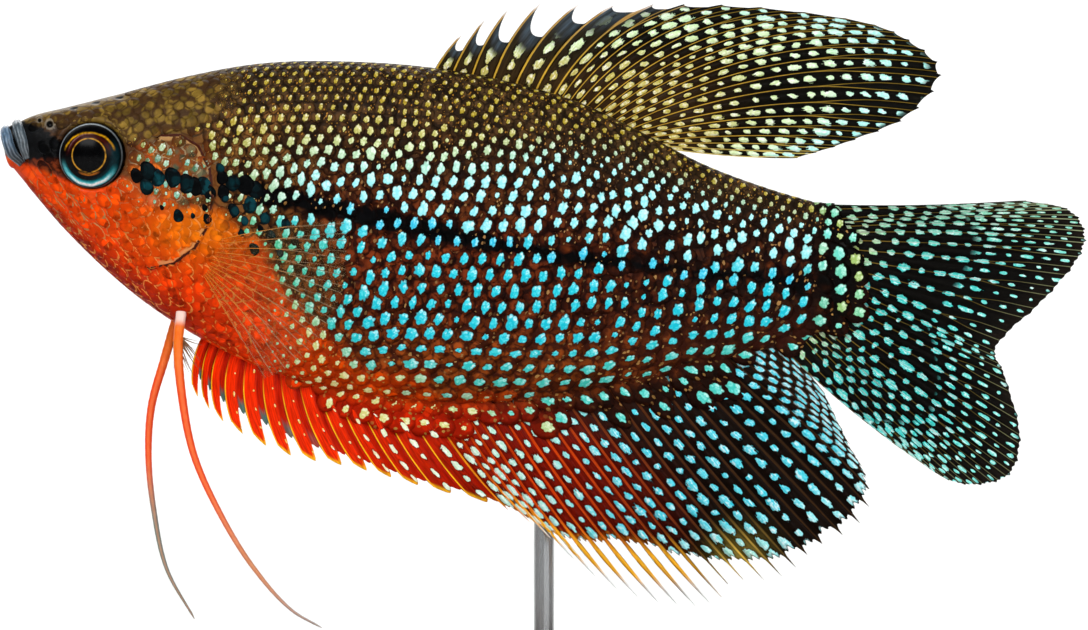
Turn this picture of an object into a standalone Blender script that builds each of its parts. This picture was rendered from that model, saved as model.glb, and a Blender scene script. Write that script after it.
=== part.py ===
"""A life-size display model of a pearl gourami (Trichopodus leerii) on a plain stand.

Units are metres, +Z up. The fish faces -X and its plane of symmetry is Y = 0. The origin lies on the floor,
below the middle of the fish's length. A place on the fish is given as (a, h): a is how far it lies behind the
front of the lips, and h how far above the tips of the hanging feelers.
"""

import math

import bmesh
import bpy
import numpy as np
from mathutils import Vector

MM = 0.001

# Driving sizes of the whole model
TOTAL_LENGTH = 108.8 * MM
GAP = 0.3 * MM
BASE_SIZE = (64 * MM, 42 * MM, 4 * MM)
BASE_CORNER = 14 * MM
BASE_RIM = 0.8 * MM
FEELER_CLEARANCE = 2 * MM

# The body from snout to tail root: its back, belly and half width at stations behind the lips
STATION = np.array([1.2, 3.2, 6.4, 12.8, 19.2, 25.6, 32.0, 44.8, 57.6, 64.0, 70.4, 76.8, 82.6]) * MM
BACK = np.array([50.5, 51.4, 52.2, 53.8, 55.4, 56.5, 56.8, 55.9, 52.8, 49.8, 46.5, 44.1, 42.4]) * MM
BELLY = np.array([45.8, 43.4, 39.7, 33.7, 29.3, 26.1, 24.0, 22.4, 23.3, 24.6, 26.1, 27.7, 28.6]) * MM
HALF_WIDTH = np.array([1.3, 2.4, 3.7, 5.1, 5.9, 6.2, 6.2, 5.9, 4.8, 4.0, 3.2, 2.4, 1.7]) * MM
SNOUT = (0.2 * MM, 48.7 * MM)
TAIL_ROOT = (85.8 * MM, 35.3 * MM)
BACK_ROUNDS_FROM = 82.4 * MM
BELLY_ROUNDS_FROM = 78.0 * MM
SIDES_ROUND_FROM = 79.0 * MM
WIDEST_AT = 0.56
BACK_FULLNESS = 0.86
BREAST_FULLNESS = 0.8
KEEL_FULLNESS = 1.25
BREAST_ENDS = 16 * MM
KEEL_STARTS = 36 * MM
BODY_RINGS = 46
BODY_SIDES = 28
LEAST_WIDTH = 0.05 * MM
DEEP = 15 * MM

# Where the body is parted
STALK_AT = 74.5
NAPE = [(21.6, 60.0), (21.9, 52.0), (21.9, 47.0)]
GILL_EDGE = [(16.0, 49.2), (18.2, 49.2), (20.0, 48.1), (21.1, 45.8), (21.4, 43.0), (20.9, 40.2),
             (19.6, 38.0), (17.4, 36.4), (14.9, 35.9)]
GILL_FRONT = [(13.9, 37.6), (14.2, 40.2), (15.2, 43.2), (15.6, 46.4)]
THROAT = [(12.4, 35.2), (10.2, 33.2), (8.6, 30.0)]
JAW_EDGE = [(1.1, 53.0), (1.45, 50.4), (2.2, 48.4), (2.7, 46.3), (4.0, 44.6), (6.8, 42.4), (8.4, 36.0)]

# Head
EYE_AT = (9.3 * MM, 47.2 * MM)
EYE_RADIUS = 3.2 * MM
EYE_DEPTH = 2.4 * MM
EYE_SUNK = 1.3 * MM
EYE_TURN = math.radians(7)
LID_RADIUS = 0.38 * MM
LID_SUNK = 0.25 * MM
NOSTRIL_AT = (5.05 * MM, 50.3 * MM)
NOSTRIL_RADIUS = 0.38 * MM
COVER_THICKNESS = 0.7 * MM
COVER_RISE = 0.25 * MM
LIP_RADIUS = 0.48 * MM
LIP_CORNER_SHARE = 0.7
UPPER_LIP = [(2.75, 46.9, 1.75), (2.2, 48.6, 1.65), (1.75, 49.9, 1.1), (1.6, 50.4, 0.0)]
LOWER_LIP = [(2.2, 46.4, 1.75), (1.1, 47.6, 1.5), (0.62, 49.0, 1.0), (0.5, 49.8, 0.0)]

# Fins: the membrane's thickness, a ray's rise over it and half width, and how deep roots go before they are cut
MEMBRANE = 0.5 * MM
RAY_RISE = 0.42 * MM
RAY_HALF_WIDTH = 0.32 * MM
RAY_TAPER = 0.55
TIP_HALF_WIDTH = 0.13 * MM
TIP_THICKNESS = 0.36 * MM
LEAST_FREE = 0.04
NOTCH = 0.02
ROOT_SINK = 1.6 * MM
FIN_ROWS = 5
FREE_ROWS = 2

# Rows that shape a fin: root station, tip station, tip height, bow of the ray, share of it beyond the membrane
DORSAL_RAYS = np.array([
    (43.0, 46.2, 59.3, 0.05, 0.30),
    (46.4, 50.9, 61.6, 0.05, 0.24),
    (50.4, 56.4, 62.3, 0.06, 0.14),
    (54.0, 65.0, 62.4, 0.09, 0.05),
    (56.8, 75.0, 62.1, 0.11, 0.03),
    (59.0, 86.0, 60.7, 0.11, 0.02),
    (60.4, 91.2, 58.7, 0.10, 0.02),
    (61.8, 94.2, 55.5, 0.08, 0.02),
    (63.4, 91.0, 51.2, 0.05, 0.02),
    (64.9, 85.0, 48.6, 0.02, 0.02),
    (66.2, 79.8, 47.0, -0.02, 0.02),
])
DORSAL_COUNT = 18
DORSAL_REAR_SINK = 0.4
ANAL_RAYS = np.array([
    (20.8, 19.7, 23.3, 0.06, 0.15),
    (23.2, 22.6, 20.3, 0.05, 0.15),
    (27.0, 28.9, 17.3, 0.03, 0.13),
    (31.4, 35.6, 16.0, -0.01, 0.11),
    (36.4, 42.4, 14.1, -0.02, 0.07),
    (42.4, 51.8, 11.3, -0.02, 0.02),
    (47.0, 61.0, 4.2, -0.02, 0.20),
    (52.4, 69.4, 2.1, -0.02, 0.24),
    (58.6, 75.2, 4.1, -0.02, 0.07),
    (65.0, 82.0, 6.8, -0.01, 0.03),
    (71.0, 87.4, 12.7, 0.02, 0.02),
    (74.8, 85.2, 18.0, 0.02, 0.02),
    (77.0, 82.4, 23.2, 0.02, 0.02),
])
ANAL_COUNT = 36
ANAL_SPLIT = 16
ANAL_WAVE = 0.7 * MM
ANAL_WAVE_LENGTH = 46 * MM
ANAL_WAVE_FROM = 23 * MM
ANAL_WAVE_DEPTH = 20 * MM
# The tail fin's rows start with the angle of the root round the end of the body, in degrees
TAIL_RAYS = np.array([
    (98.0, 104.2, 42.6, 0.00, 0.02),
    (62.0, 108.4, 40.4, 0.02, 0.02),
    (40.0, 108.2, 37.3, 0.01, 0.02),
    (18.0, 104.6, 32.9, 0.00, 0.02),
    (-2.0, 99.6, 28.2, 0.00, 0.02),
    (-22.0, 100.4, 25.2, 0.00, 0.02),
    (-40.0, 102.1, 19.0, 0.00, 0.02),
    (-58.0, 100.6, 14.9, -0.01, 0.02),
    (-76.0, 96.4, 14.5, -0.02, 0.02),
    (-98.0, 91.9, 16.6, -0.01, 0.02),
])
TAIL_COUNT = 18
TAIL_SPLIT = 8
TAIL_ARC_CENTRE = 79.0 * MM
TAIL_ARC_HEIGHT = 7.2 * MM
PECTORAL_COUNT = 9
PECTORAL_ROOT = (21.6 * MM, 36.9 * MM)
PECTORAL_ROOT_LENGTH = 3.0 * MM
PECTORAL_ROOT_SINK = 1.2 * MM
PECTORAL_REACH = 14.6 * MM
PECTORAL_LOWER_SHARE = 0.78
PECTORAL_SPREAD = (14.0, -58.0)
PECTORAL_SPLAY = math.radians(24)

# Feelers: points down each one as (a, h, y), half thicknesses from root to tip, and the fan of short rays behind
LEFT_FEELER = [(18.2, 31.6, -2.9), (17.9, 28.4, -3.6), (18.3, 23.3, -4.6), (19.5, 17.4, -5.4),
               (22.2, 11.4, -6.0), (25.5, 6.1, -6.3), (29.3, 1.9, -6.5), (32.3, 0.15, -6.6)]
RIGHT_FEELER = [(17.8, 31.6, 2.9), (16.4, 27.0, 3.8), (15.0, 22.0, 4.9), (14.7, 17.0, 5.8),
                (15.2, 11.8, 6.4), (16.5, 5.8, 6.8), (19.3, 0.75, 7.0)]
FEELER_RADII = np.array([0.5, 0.38, 0.29, 0.14]) * MM
FEELER_LENGTHS = 3
FEELER_STEPS = 8
FAN_COUNT = 6
FAN_LENGTH = 4.6 * MM
FAN_RADIUS = 0.26 * MM
FAN_FROM = math.radians(-78)
FAN_STEP = math.radians(9)

# Stand
ROD_RADIUS = 1.0 * MM
ROD_AT = (54.4 * MM, 2.5 * MM)
ROD_TOP = 30.0 * MM
FOOT_RADIUS = 3.2 * MM
FOOT_THICKNESS = 1.0 * MM

# Finishes: colour, roughness and metallic value
FINISHES = {
    "scaled_skin": ("#7A5A36", 0.35, 0.0),
    "red_throat": ("#D2421E", 0.35, 0.0),
    "gill_plate": ("#8E7350", 0.30, 0.0),
    "eye": ("#3A1E10", 0.08, 0.0),
    "spotted_fin": ("#5B4C3A", 0.40, 0.0),
    "clear_fin": ("#D8C3A0", 0.30, 0.0),
    "feeler_skin": ("#E0702E", 0.40, 0.0),
    "oiled_wood": ("#6E4A2E", 0.45, 0.0),
    "brushed_steel": ("#B8BABD", 0.30, 1.0),
}


def linear(value):
    """A channel of an sRGB colour, 0 to 1, as linear light."""
    return value / 12.92 if value <= 0.04045 else ((value + 0.055) / 1.055) ** 2.4


def material(finish):
    """The Principled material of a finish, made once."""
    made = bpy.data.materials.get(finish)
    if made is None:
        colour, roughness, metallic = FINISHES[finish]
        channels = [linear(int(colour[i:i + 2], 16) / 255) for i in (1, 3, 5)]
        made = bpy.data.materials.new(finish)
        made.use_nodes = True
        surface = made.node_tree.nodes["Principled BSDF"]
        surface.inputs["Base Color"].default_value = (*channels, 1)
        surface.inputs["Roughness"].default_value = roughness
        surface.inputs["Metallic"].default_value = metallic
    return made


def x_of(a):
    """World X of a station a behind the lips."""
    return a - TOTAL_LENGTH / 2


def z_of(h):
    """World Z of a height h above the feelers' tips."""
    return h + BASE_SIZE[2] + FEELER_CLEARANCE


def world(a, h, y):
    return Vector((x_of(a), y, z_of(h)))


def through(stations, values, at):
    """Values at the asked places on the smooth curve through the given stations (cubic Hermite pieces)."""
    at = np.asarray(at, float)
    rise = np.diff(values) / np.diff(stations)
    slope = np.concatenate([rise[:1], (rise[:-1] + rise[1:]) / 2, rise[-1:]])
    low = np.clip(np.searchsorted(stations, at) - 1, 0, len(stations) - 2)
    span = stations[low + 1] - stations[low]
    t = np.clip((at - stations[low]) / span, 0, 1)
    return ((2 * t**3 - 3 * t**2 + 1) * values[low] + (t**3 - 2 * t**2 + t) * span * slope[low]
            + (3 * t**2 - 2 * t**3) * values[low + 1] + (t**3 - t**2) * span * slope[low + 1])


def rounding(at, start, end):
    """1 up to start, then a quarter ellipse that falls to 0 at end."""
    share = np.clip((at - start) / (end - start), 0, 1)
    return np.sqrt(1 - share**2)


def body_levels(a):
    """Back, belly and half width of the body at stations a, with both ends rounded off."""
    nose = rounding(a, STATION[0], SNOUT[0])
    back = SNOUT[1] + (through(STATION, BACK, a) - SNOUT[1]) * nose
    belly = SNOUT[1] + (through(STATION, BELLY, a) - SNOUT[1]) * nose
    back = TAIL_ROOT[1] + (back - TAIL_ROOT[1]) * rounding(a, BACK_ROUNDS_FROM, TAIL_ROOT[0])
    belly = TAIL_ROOT[1] + (belly - TAIL_ROOT[1]) * rounding(a, BELLY_ROUNDS_FROM, TAIL_ROOT[0])
    width = through(STATION, HALF_WIDTH, a) * nose * rounding(a, SIDES_ROUND_FROM, TAIL_ROOT[0])
    return back, belly, width


def fullness(a, upper):
    """Exponent of a section's side: small is full and round, over 1 draws it in to a keel."""
    share = np.clip((a - BREAST_ENDS) / (KEEL_STARTS - BREAST_ENDS), 0, 1)
    lower = BREAST_FULLNESS + (KEEL_FULLNESS - BREAST_FULLNESS) * share
    return np.where(upper, BACK_FULLNESS, lower)


def flank(a, h):
    """How far the body's side lies from the plane of symmetry at (a, h)."""
    back, belly, width = body_levels(np.asarray(a, float))
    middle = belly + WIDEST_AT * (back - belly)
    reach = np.where(h > middle, back - middle, middle - belly)
    level = np.clip((h - middle) / np.maximum(reach, LEAST_WIDTH), -1, 1)
    return float(width * (1 - level**2) ** (fullness(a, h > middle) / 2))


def linked(name, mesh):
    """A new object with this mesh, among the pieces that parts are made from."""
    obj = bpy.data.objects.new(name, mesh)
    bpy.data.collections["workshop"].objects.link(obj)
    return obj


def finished(obj, finish):
    """Puts a part in the model's collection under its empty, with its material and smooth round faces."""
    bpy.data.collections["workshop"].objects.unlink(obj)
    bpy.data.collections["pearl_gourami"].objects.link(obj)
    obj.parent = bpy.data.objects["pearl_gourami_centre"]
    obj.data.materials.clear()
    obj.data.materials.append(material(finish))
    obj.data.shade_smooth()
    obj.data.set_sharp_from_angle(angle=math.radians(40))
    return obj


def object_from(name, bm):
    """A new object from a finished bmesh, with its faces turned outwards."""
    bmesh.ops.recalc_face_normals(bm, faces=bm.faces)
    mesh = bpy.data.meshes.new(name)
    bm.to_mesh(mesh)
    bm.free()
    return linked(name, mesh)


def settled(obj):
    """The object with its modifiers applied, or a curve as a welded mesh, its place moved into the mesh."""
    bpy.context.view_layer.update()
    graph = bpy.context.evaluated_depsgraph_get()
    mesh = bpy.data.meshes.new_from_object(obj.evaluated_get(graph))
    mesh.transform(obj.matrix_world)
    name = obj.name
    bpy.data.objects.remove(obj)
    bm = bmesh.new()
    bm.from_mesh(mesh)
    bmesh.ops.remove_doubles(bm, verts=bm.verts, dist=0.001 * MM)
    bm.to_mesh(mesh)
    bm.free()
    made = linked(name, mesh)
    made.name = name
    return made


def combined(target, tools, operation, solver="EXACT"):
    """The target after one Boolean with a collection of closed pieces, which are then removed."""
    group = bpy.data.collections.new("tools")
    for tool in tools:
        group.objects.link(tool)
    modifier = target.modifiers.new("combine", "BOOLEAN")
    modifier.operation = operation
    modifier.operand_type = "COLLECTION"
    modifier.collection = group
    modifier.solver = solver
    made = settled(target)
    for tool in tools:
        bpy.data.objects.remove(tool)
    bpy.data.collections.remove(group)
    return made


def kept_whole(obj):
    """The object with only its largest closed surface."""
    bm = bmesh.new()
    bm.from_mesh(obj.data)
    left, shells = set(bm.verts), []
    while left:
        shell, front = set(), [left.pop()]
        while front:
            vert = front.pop()
            shell.add(vert)
            near = {edge.other_vert(vert) for edge in vert.link_edges} & left
            left -= near
            front.extend(near)
        shells.append(shell)

    def spread(shell):
        return np.prod(np.ptp([vert.co for vert in shell], axis=0) + MM)

    largest = max(shells, key=spread)
    bmesh.ops.delete(bm, geom=[vert for vert in bm.verts if vert not in largest], context="VERTS")
    bm.to_mesh(obj.data)
    bm.free()
    return obj


def fitted(obj):
    """The piece cut to stand a gap clear of the body."""
    return kept_whole(combined(obj, [body_shell("clear of the body", GAP)], "DIFFERENCE", "MANIFOLD"))


def body_shell(name, grow=0.0):
    """The whole body as one closed surface: a sphere whose poles go to the snout and the tail root."""
    bm = bmesh.new()
    bmesh.ops.create_uvsphere(bm, u_segments=BODY_SIDES, v_segments=BODY_RINGS, radius=1)
    ball = np.array([vert.co for vert in bm.verts])
    length = TAIL_ROOT[0] - SNOUT[0]
    a = SNOUT[0] + length * (1 - ball[:, 2]) / 2
    around = np.arctan2(ball[:, 1], ball[:, 0])
    back, belly, width = body_levels(a)
    middle = belly + WIDEST_AT * (back - belly)
    upper = np.cos(around) >= 0
    reach = np.maximum(np.where(upper, back - middle, middle - belly) + grow, LEAST_WIDTH)
    h = middle + reach * np.cos(around)
    side = np.sin(around)
    y = np.maximum(width + grow, LEAST_WIDTH) * np.sign(side) * np.abs(side) ** fullness(a, upper)
    a += grow * (2 * (a - SNOUT[0]) / length - 1)
    pole = np.abs(ball[:, 2]) > 1 - 1e-5
    y[pole] = 0
    h[pole] = np.where(ball[pole, 2] > 0, SNOUT[1], TAIL_ROOT[1])
    for vert, *place in zip(bm.verts, a, h, y):
        vert.co = world(*place)
    return object_from(name, bm)


def prism(name, outline, y_from=-DEEP, y_to=DEEP):
    """A flat outline of (a, h) points in millimetres, drawn out from y_from to y_to."""
    curve = bpy.data.curves.new(name, "CURVE")
    curve.dimensions = "2D"
    curve.fill_mode = "BOTH"
    curve.extrude = (y_to - y_from) / 2
    spline = curve.splines.new("POLY")
    spline.points.add(len(outline) - 1)
    for point, (a, h) in zip(spline.points, outline):
        point.co = (x_of(a * MM), z_of(h * MM), 0, 1)
    spline.use_cyclic_u = True
    obj = linked(name, curve)
    obj.rotation_euler.x = math.pi / 2
    obj.location.y = (y_from + y_to) / 2
    return settled(obj)


def tube(name, points, radii, resolution=2):
    """A closed round tube through world points, with its own half thickness at each."""
    curve = bpy.data.curves.new(name, "CURVE")
    curve.dimensions = "3D"
    curve.bevel_depth = 1
    curve.bevel_resolution = resolution
    curve.use_fill_caps = True
    spline = curve.splines.new("POLY")
    spline.points.add(len(points) - 1)
    for point, place, radius in zip(spline.points, points, radii):
        point.co = (*place, 1)
        point.radius = radius
    return settled(linked(name, curve))


def ball(name, centre, half_sizes, turn=0.0, segments=(20, 12)):
    """A closed ball stretched to three half sizes, with its poles facing sideways, turned about Z."""
    bm = bmesh.new()
    bmesh.ops.create_uvsphere(bm, u_segments=segments[0], v_segments=segments[1], radius=1)
    bmesh.ops.scale(bm, vec=(half_sizes[0], half_sizes[2], half_sizes[1]), verts=bm.verts)
    obj = object_from(name, bm)
    obj.rotation_euler = (math.pi / 2, 0, turn)
    obj.location = centre
    return obj


def eye_centre(side):
    return world(*EYE_AT, side * (flank(*EYE_AT) - EYE_SUNK))


def eye_ball(name, side, grow, segments):
    """An eye, or its socket when grown: side is -1 on the left and 1 on the right."""
    sizes = (EYE_RADIUS + grow, EYE_DEPTH + grow, EYE_RADIUS + grow)
    return ball(name, eye_centre(side), sizes, -side * EYE_TURN, segments)


def eye_lid(side):
    """The ring of skin round the eye."""
    bpy.ops.mesh.primitive_torus_add(major_radius=EYE_RADIUS + GAP, minor_radius=LID_RADIUS,
                                     major_segments=24, minor_segments=6)
    ring = bpy.context.object
    ring.rotation_euler = (math.pi / 2, 0, -side * EYE_TURN)
    ring.location = eye_centre(side) + Vector((0, side * (EYE_SUNK - LID_SUNK), 0))
    return settled(ring)


def nostril(side):
    place = world(*NOSTRIL_AT, side * flank(*NOSTRIL_AT))
    return settled(ball("nostril", place, (NOSTRIL_RADIUS,) * 3, segments=(8, 6)))


def lip(name, half, grow=0.0):
    """A lip as an arch from one corner of the mouth over the snout to the other."""
    arch = [(a, h, -y) for a, h, y in half] + half[-2::-1]
    places = [world(a * MM, h * MM, y * MM) for a, h, y in arch]
    places[0] += (places[0] - places[1]).normalized() * grow
    places[-1] += (places[-1] - places[-2]).normalized() * grow
    radii = [LIP_RADIUS + grow] * len(arch)
    radii[0] = radii[-1] = LIP_RADIUS * LIP_CORNER_SHARE + grow
    return tube(name, places, radii)


def moved_out(outline, distance):
    """A clockwise outline moved outward: a point goes so far that both its edges keep the distance."""
    points = np.array(outline)
    edge = np.roll(points, -1, axis=0) - points
    normal = np.stack([-edge[:, 1], edge[:, 0]], axis=1) / np.linalg.norm(edge, axis=1, keepdims=True)
    before = np.roll(normal, 1, axis=0)
    return points + (normal + before) * distance / (1 + (normal * before).sum(axis=1, keepdims=True))


def trunk_and_stalk():
    """The body behind the head, parted where the tail stalk begins."""
    gap, top, bottom, rear = GAP / MM, 65, 5, 95
    front = [(a + gap, h - gap * (h < GILL_EDGE[4][1])) for a, h in head_edge()]
    trunk_area = [*front, (front[-1][0], bottom), (STALK_AT, bottom), (STALK_AT, top), (front[0][0], top)]
    stalk_area = [(STALK_AT + gap, bottom), (rear, bottom), (rear, top), (STALK_AT + gap, top)]
    finished(combined(body_shell("trunk"), [prism("trunk area", trunk_area)], "INTERSECT"), "scaled_skin")
    finished(combined(body_shell("tail_stalk"), [prism("stalk area", stalk_area)], "INTERSECT"), "scaled_skin")


def head_edge():
    """The head's rear edge, from the nape round the gill opening to the throat."""
    return [*NAPE, *GILL_EDGE[3:], *THROAT]


def head():
    """The head with its lips, lids, sockets, nostrils and the two gill covers in their recesses."""
    gap, front, top, bottom = GAP / MM, -5, 60, 30
    head_area = [(front, top), *head_edge(), (front, bottom)]
    clear = [(a + gap, h + gap / 2) for a, h in JAW_EDGE]
    jaw_clear = [(front, clear[0][1]), *clear, (clear[-1][0], bottom), (front, bottom)]
    skull = combined(body_shell("head"), [prism("head area", head_area)], "INTERSECT")
    skull = combined(skull, [prism("jaw clear", jaw_clear)], "DIFFERENCE")
    skull = combined(skull, [lip("upper lip", UPPER_LIP), eye_lid(-1), eye_lid(1)], "UNION", "MANIFOLD")
    hollows = []
    for side in (-1, 1):
        hollows.append(settled(eye_ball("socket", side, GAP, (20, 10))))
        hollows.append(nostril(side))
        hollows.append(gill_plate("recess", side, moved_out(gill_outline(), gap), COVER_RISE + GAP, 0))
    skull = combined(skull, hollows, "DIFFERENCE", "MANIFOLD")
    finished(kept_whole(skull), "red_throat")
    for side, name in ((-1, "gill_cover_left"), (1, "gill_cover_right")):
        finished(gill_plate(name, side, gill_outline(), COVER_RISE, GAP), "gill_plate")


def gill_outline():
    return [*GILL_EDGE, *GILL_FRONT]


def gill_plate(name, side, outline, rise, clear):
    """A plate over the gills, from a little above the body's surface down to its thickness less the clearance."""
    near, far = sorted((side * MM, side * DEEP))
    plate = combined(body_shell(name, rise), [prism("plate area", outline, near, far)], "INTERSECT", "MANIFOLD")
    core = body_shell("core", clear - COVER_THICKNESS)
    return kept_whole(combined(plate, [core], "DIFFERENCE", "MANIFOLD"))


def lower_jaw():
    """The jaw and chin with the lower lip, clear of the upper lip by the line of the mouth."""
    front, bottom = -5, JAW_EDGE[-1][1]
    area = [(front, JAW_EDGE[0][1]), *JAW_EDGE, (front, bottom)]
    jaw = combined(body_shell("lower_jaw"), [lip("lower lip", LOWER_LIP)], "UNION", "MANIFOLD")
    jaw = combined(jaw, [prism("jaw area", area)], "INTERSECT", "MANIFOLD")
    jaw = combined(jaw, [lip("upper lip clear", UPPER_LIP, GAP)], "DIFFERENCE", "MANIFOLD")
    finished(kept_whole(jaw), "red_throat")


def eyes():
    for side, name in ((-1, "eye_left"), (1, "eye_right")):
        finished(eye_ball(name, side, 0, (20, 10)), "eye")


class FinRays:
    """A fin's rays: each is a quadratic curve from root to tip that bows to one side."""

    def __init__(self, root, tip, bow, free):
        along = tip - root
        aside = np.stack([-along[:, 1], along[:, 0]], axis=1)
        self.root, self.tip, self.free = root, tip, free
        self.bend = (root + tip) / 2 + 2 * bow[:, None] * aside

    def at(self, shares):
        """Points on every ray at its own row of shares of the way out: an array of rays, rows and (a, h)."""
        s = shares[..., None]
        return (1 - s) ** 2 * self.root[:, None] + 2 * s * (1 - s) * self.bend[:, None] + s**2 * self.tip[:, None]


def ray_rows(table, count):
    """The rows that shape a fin, read smoothly at count rays."""
    rows = np.arange(len(table), dtype=float)
    asked = np.linspace(0, len(table) - 1, count)
    return [through(rows, column, asked) for column in table.T]


def fin(name, rays, first, last, sideways):
    """The fin from one ray to another as a closed solid, cut clear of the body.

    An open sheet is thickened both ways. Across a ray it has a foot, a crest and a foot, thickest at the crest,
    so the ray stands up from both faces. A column down the middle of the membrane parts it from the next ray.
    """
    out = np.linspace(0, 1, FIN_ROWS)
    web = out * (1 - rays.free[:, None])
    crest = rays.at(web)
    web[:, -1] *= 1 - NOTCH
    middle = rays.at(web)
    middle = (middle[1:] + middle[:-1]) / 2
    run = np.gradient(crest, axis=1)
    across = np.stack([-run[..., 1], run[..., 0]], axis=2) / np.linalg.norm(run, axis=2, keepdims=True)
    spacing = (across[:-1] * np.diff(crest, axis=0)).sum(axis=2)
    across *= np.sign(spacing.mean())
    spacing = np.abs(spacing)
    near = np.minimum(np.vstack([spacing[:1], spacing]), np.vstack([spacing, spacing[-1:]]))
    half = np.minimum(RAY_HALF_WIDTH * (1 - RAY_TAPER * out), 0.28 * near)
    rise = np.minimum(RAY_RISE * (1 - RAY_TAPER * out), 0.6 * near)
    sheet, thicknesses = bmesh.new(), []

    def column(points, thickness):
        thicknesses.extend(np.broadcast_to(thickness, len(points)))
        return [sheet.verts.new(world(a, h, sideways(a, h))) for a, h in points]

    def join(one, two):
        for i in range(len(one) - 1):
            sheet.faces.new((one[i], one[i + 1], two[i + 1]))
            sheet.faces.new((one[i], two[i + 1], two[i]))

    columns = []
    for i in range(first, last + 1):
        if i > 0:
            inset = across[i] * (GAP / 2 if i == first else 0)
            columns.append(column(middle[i - 1] + inset, MEMBRANE))
        width = across[i] * half[i][:, None]
        top = crest[i].copy()
        if rays.free[i] <= LEAST_FREE:
            top[-1] = rays.tip[i]
        ray = [column(crest[i] - width, MEMBRANE), column(top, MEMBRANE + rise[i]),
               column(crest[i] + width, MEMBRANE)]
        columns += ray
        if rays.free[i] > LEAST_FREE:
            shares = np.linspace(1 - rays.free[i], 1, FREE_ROWS + 1)[1:]
            line = rays.at(np.broadcast_to(shares, (len(rays.free), FREE_ROWS)))[i]
            narrow = np.linspace(half[i, -1], TIP_HALF_WIDTH, FREE_ROWS + 1)[1:, None] * across[i, -1]
            slim = np.linspace(MEMBRANE + rise[i, -1], TIP_THICKNESS, FREE_ROWS + 1)[1:]
            tip = [[base[-1], *column(line + side * narrow, slim)] for base, side in zip(ray, (-1, 0, 1))]
            join(tip[0], tip[1])
            join(tip[1], tip[2])
    if last < len(rays.free) - 1:
        columns.append(column(middle[last] - across[last] * GAP / 2, MEMBRANE))
    for one, two in zip(columns, columns[1:]):
        join(one, two)
    return finished(fitted(thickened(object_from(name, sheet), thicknesses)),
                    "clear_fin" if name.startswith("pectoral") else "spotted_fin")


def thickened(obj, thicknesses):
    """The open sheet as a closed solid with its own thickness at each point, half to each side."""
    group = obj.vertex_groups.new(name="thickness")
    for i, thickness in enumerate(thicknesses):
        group.add([i], thickness / (MEMBRANE + RAY_RISE), "REPLACE")
    solid = obj.modifiers.new("thickness", "SOLIDIFY")
    solid.thickness = MEMBRANE + RAY_RISE
    solid.offset = 0
    solid.vertex_group = group.name
    return settled(obj)


def flat(a, h):
    """A fin that lies in the plane of symmetry."""
    return 0.0


def anal_wave(a, h):
    """A slow sideways wave that grows from the fin's root to its edge and leaves room for the rod."""
    depth = np.clip((ANAL_WAVE_FROM - h) / ANAL_WAVE_DEPTH, 0, 1)
    return ANAL_WAVE * depth * math.sin(2 * math.pi * (a - ROD_AT[0]) / ANAL_WAVE_LENGTH)


def dorsal_fin():
    root, tip_a, tip_h, bow, free = ray_rows(DORSAL_RAYS, DORSAL_COUNT)
    sink = ROOT_SINK * np.linspace(1, DORSAL_REAR_SINK, DORSAL_COUNT)
    roots = np.stack([root * MM, body_levels(root * MM)[0] - sink], axis=1)
    fin("dorsal_fin", FinRays(roots, np.stack([tip_a, tip_h], axis=1) * MM, bow, free), 0, DORSAL_COUNT - 1, flat)


def anal_fin():
    root, tip_a, tip_h, bow, free = ray_rows(ANAL_RAYS, ANAL_COUNT)
    roots = np.stack([root * MM, body_levels(root * MM)[1] + ROOT_SINK], axis=1)
    rays = FinRays(roots, np.stack([tip_a, tip_h], axis=1) * MM, bow, free)
    fin("anal_fin_front", rays, 0, ANAL_SPLIT, anal_wave)
    fin("anal_fin_rear", rays, ANAL_SPLIT + 1, ANAL_COUNT - 1, anal_wave)


def tail_fin():
    """The tail fin's two lobes, with roots on an arc a little inside the body's rear edge."""
    angle, tip_a, tip_h, bow, free = ray_rows(TAIL_RAYS, TAIL_COUNT)
    turn = np.radians(angle)
    reach_a = TAIL_ROOT[0] - TAIL_ARC_CENTRE - ROOT_SINK / 2
    reach_h = TAIL_ARC_HEIGHT - ROOT_SINK / 2
    roots = np.stack([TAIL_ARC_CENTRE + np.cos(turn) * reach_a, TAIL_ROOT[1] + np.sin(turn) * reach_h], axis=1)
    rays = FinRays(roots, np.stack([tip_a, tip_h], axis=1) * MM, bow, free)
    fin("tail_fin_upper", rays, 0, TAIL_SPLIT, flat)
    fin("tail_fin_lower", rays, TAIL_SPLIT + 1, TAIL_COUNT - 1, flat)


def pectoral_fin(name, side):
    """A fan of rays that stands off the flank: side is -1 on the left and 1 on the right."""
    angle = np.radians(np.linspace(*PECTORAL_SPREAD, PECTORAL_COUNT))
    share = np.linspace(0, 1, PECTORAL_COUNT)
    reach = PECTORAL_REACH * (1 - (1 - PECTORAL_LOWER_SHARE) * share**2)
    root_a, root_h = PECTORAL_ROOT
    lean = (0.5 - share) * PECTORAL_ROOT_LENGTH
    roots = np.stack([np.full(PECTORAL_COUNT, root_a - PECTORAL_ROOT_SINK), root_h + lean], axis=1)
    tips = roots + np.stack([np.cos(angle), np.sin(angle)], axis=1) * reach[:, None]
    root_y = flank(root_a, root_h)

    def splay(a, h):
        return side * (root_y + (a - root_a) * math.tan(PECTORAL_SPLAY))

    rays = FinRays(roots, tips, np.zeros(PECTORAL_COUNT), np.full(PECTORAL_COUNT, LEAST_FREE))
    fin(name, rays, 0, PECTORAL_COUNT - 1, splay)


def feeler_point(points, share):
    """World point at a share of the way down a feeler, on the smooth curve through its points."""
    table = np.array(points) * MM
    run = np.concatenate([[0], np.cumsum(np.linalg.norm(np.diff(table, axis=0), axis=1))])
    return world(*[float(through(run, column, share * run[-1])) for column in table.T])


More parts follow.
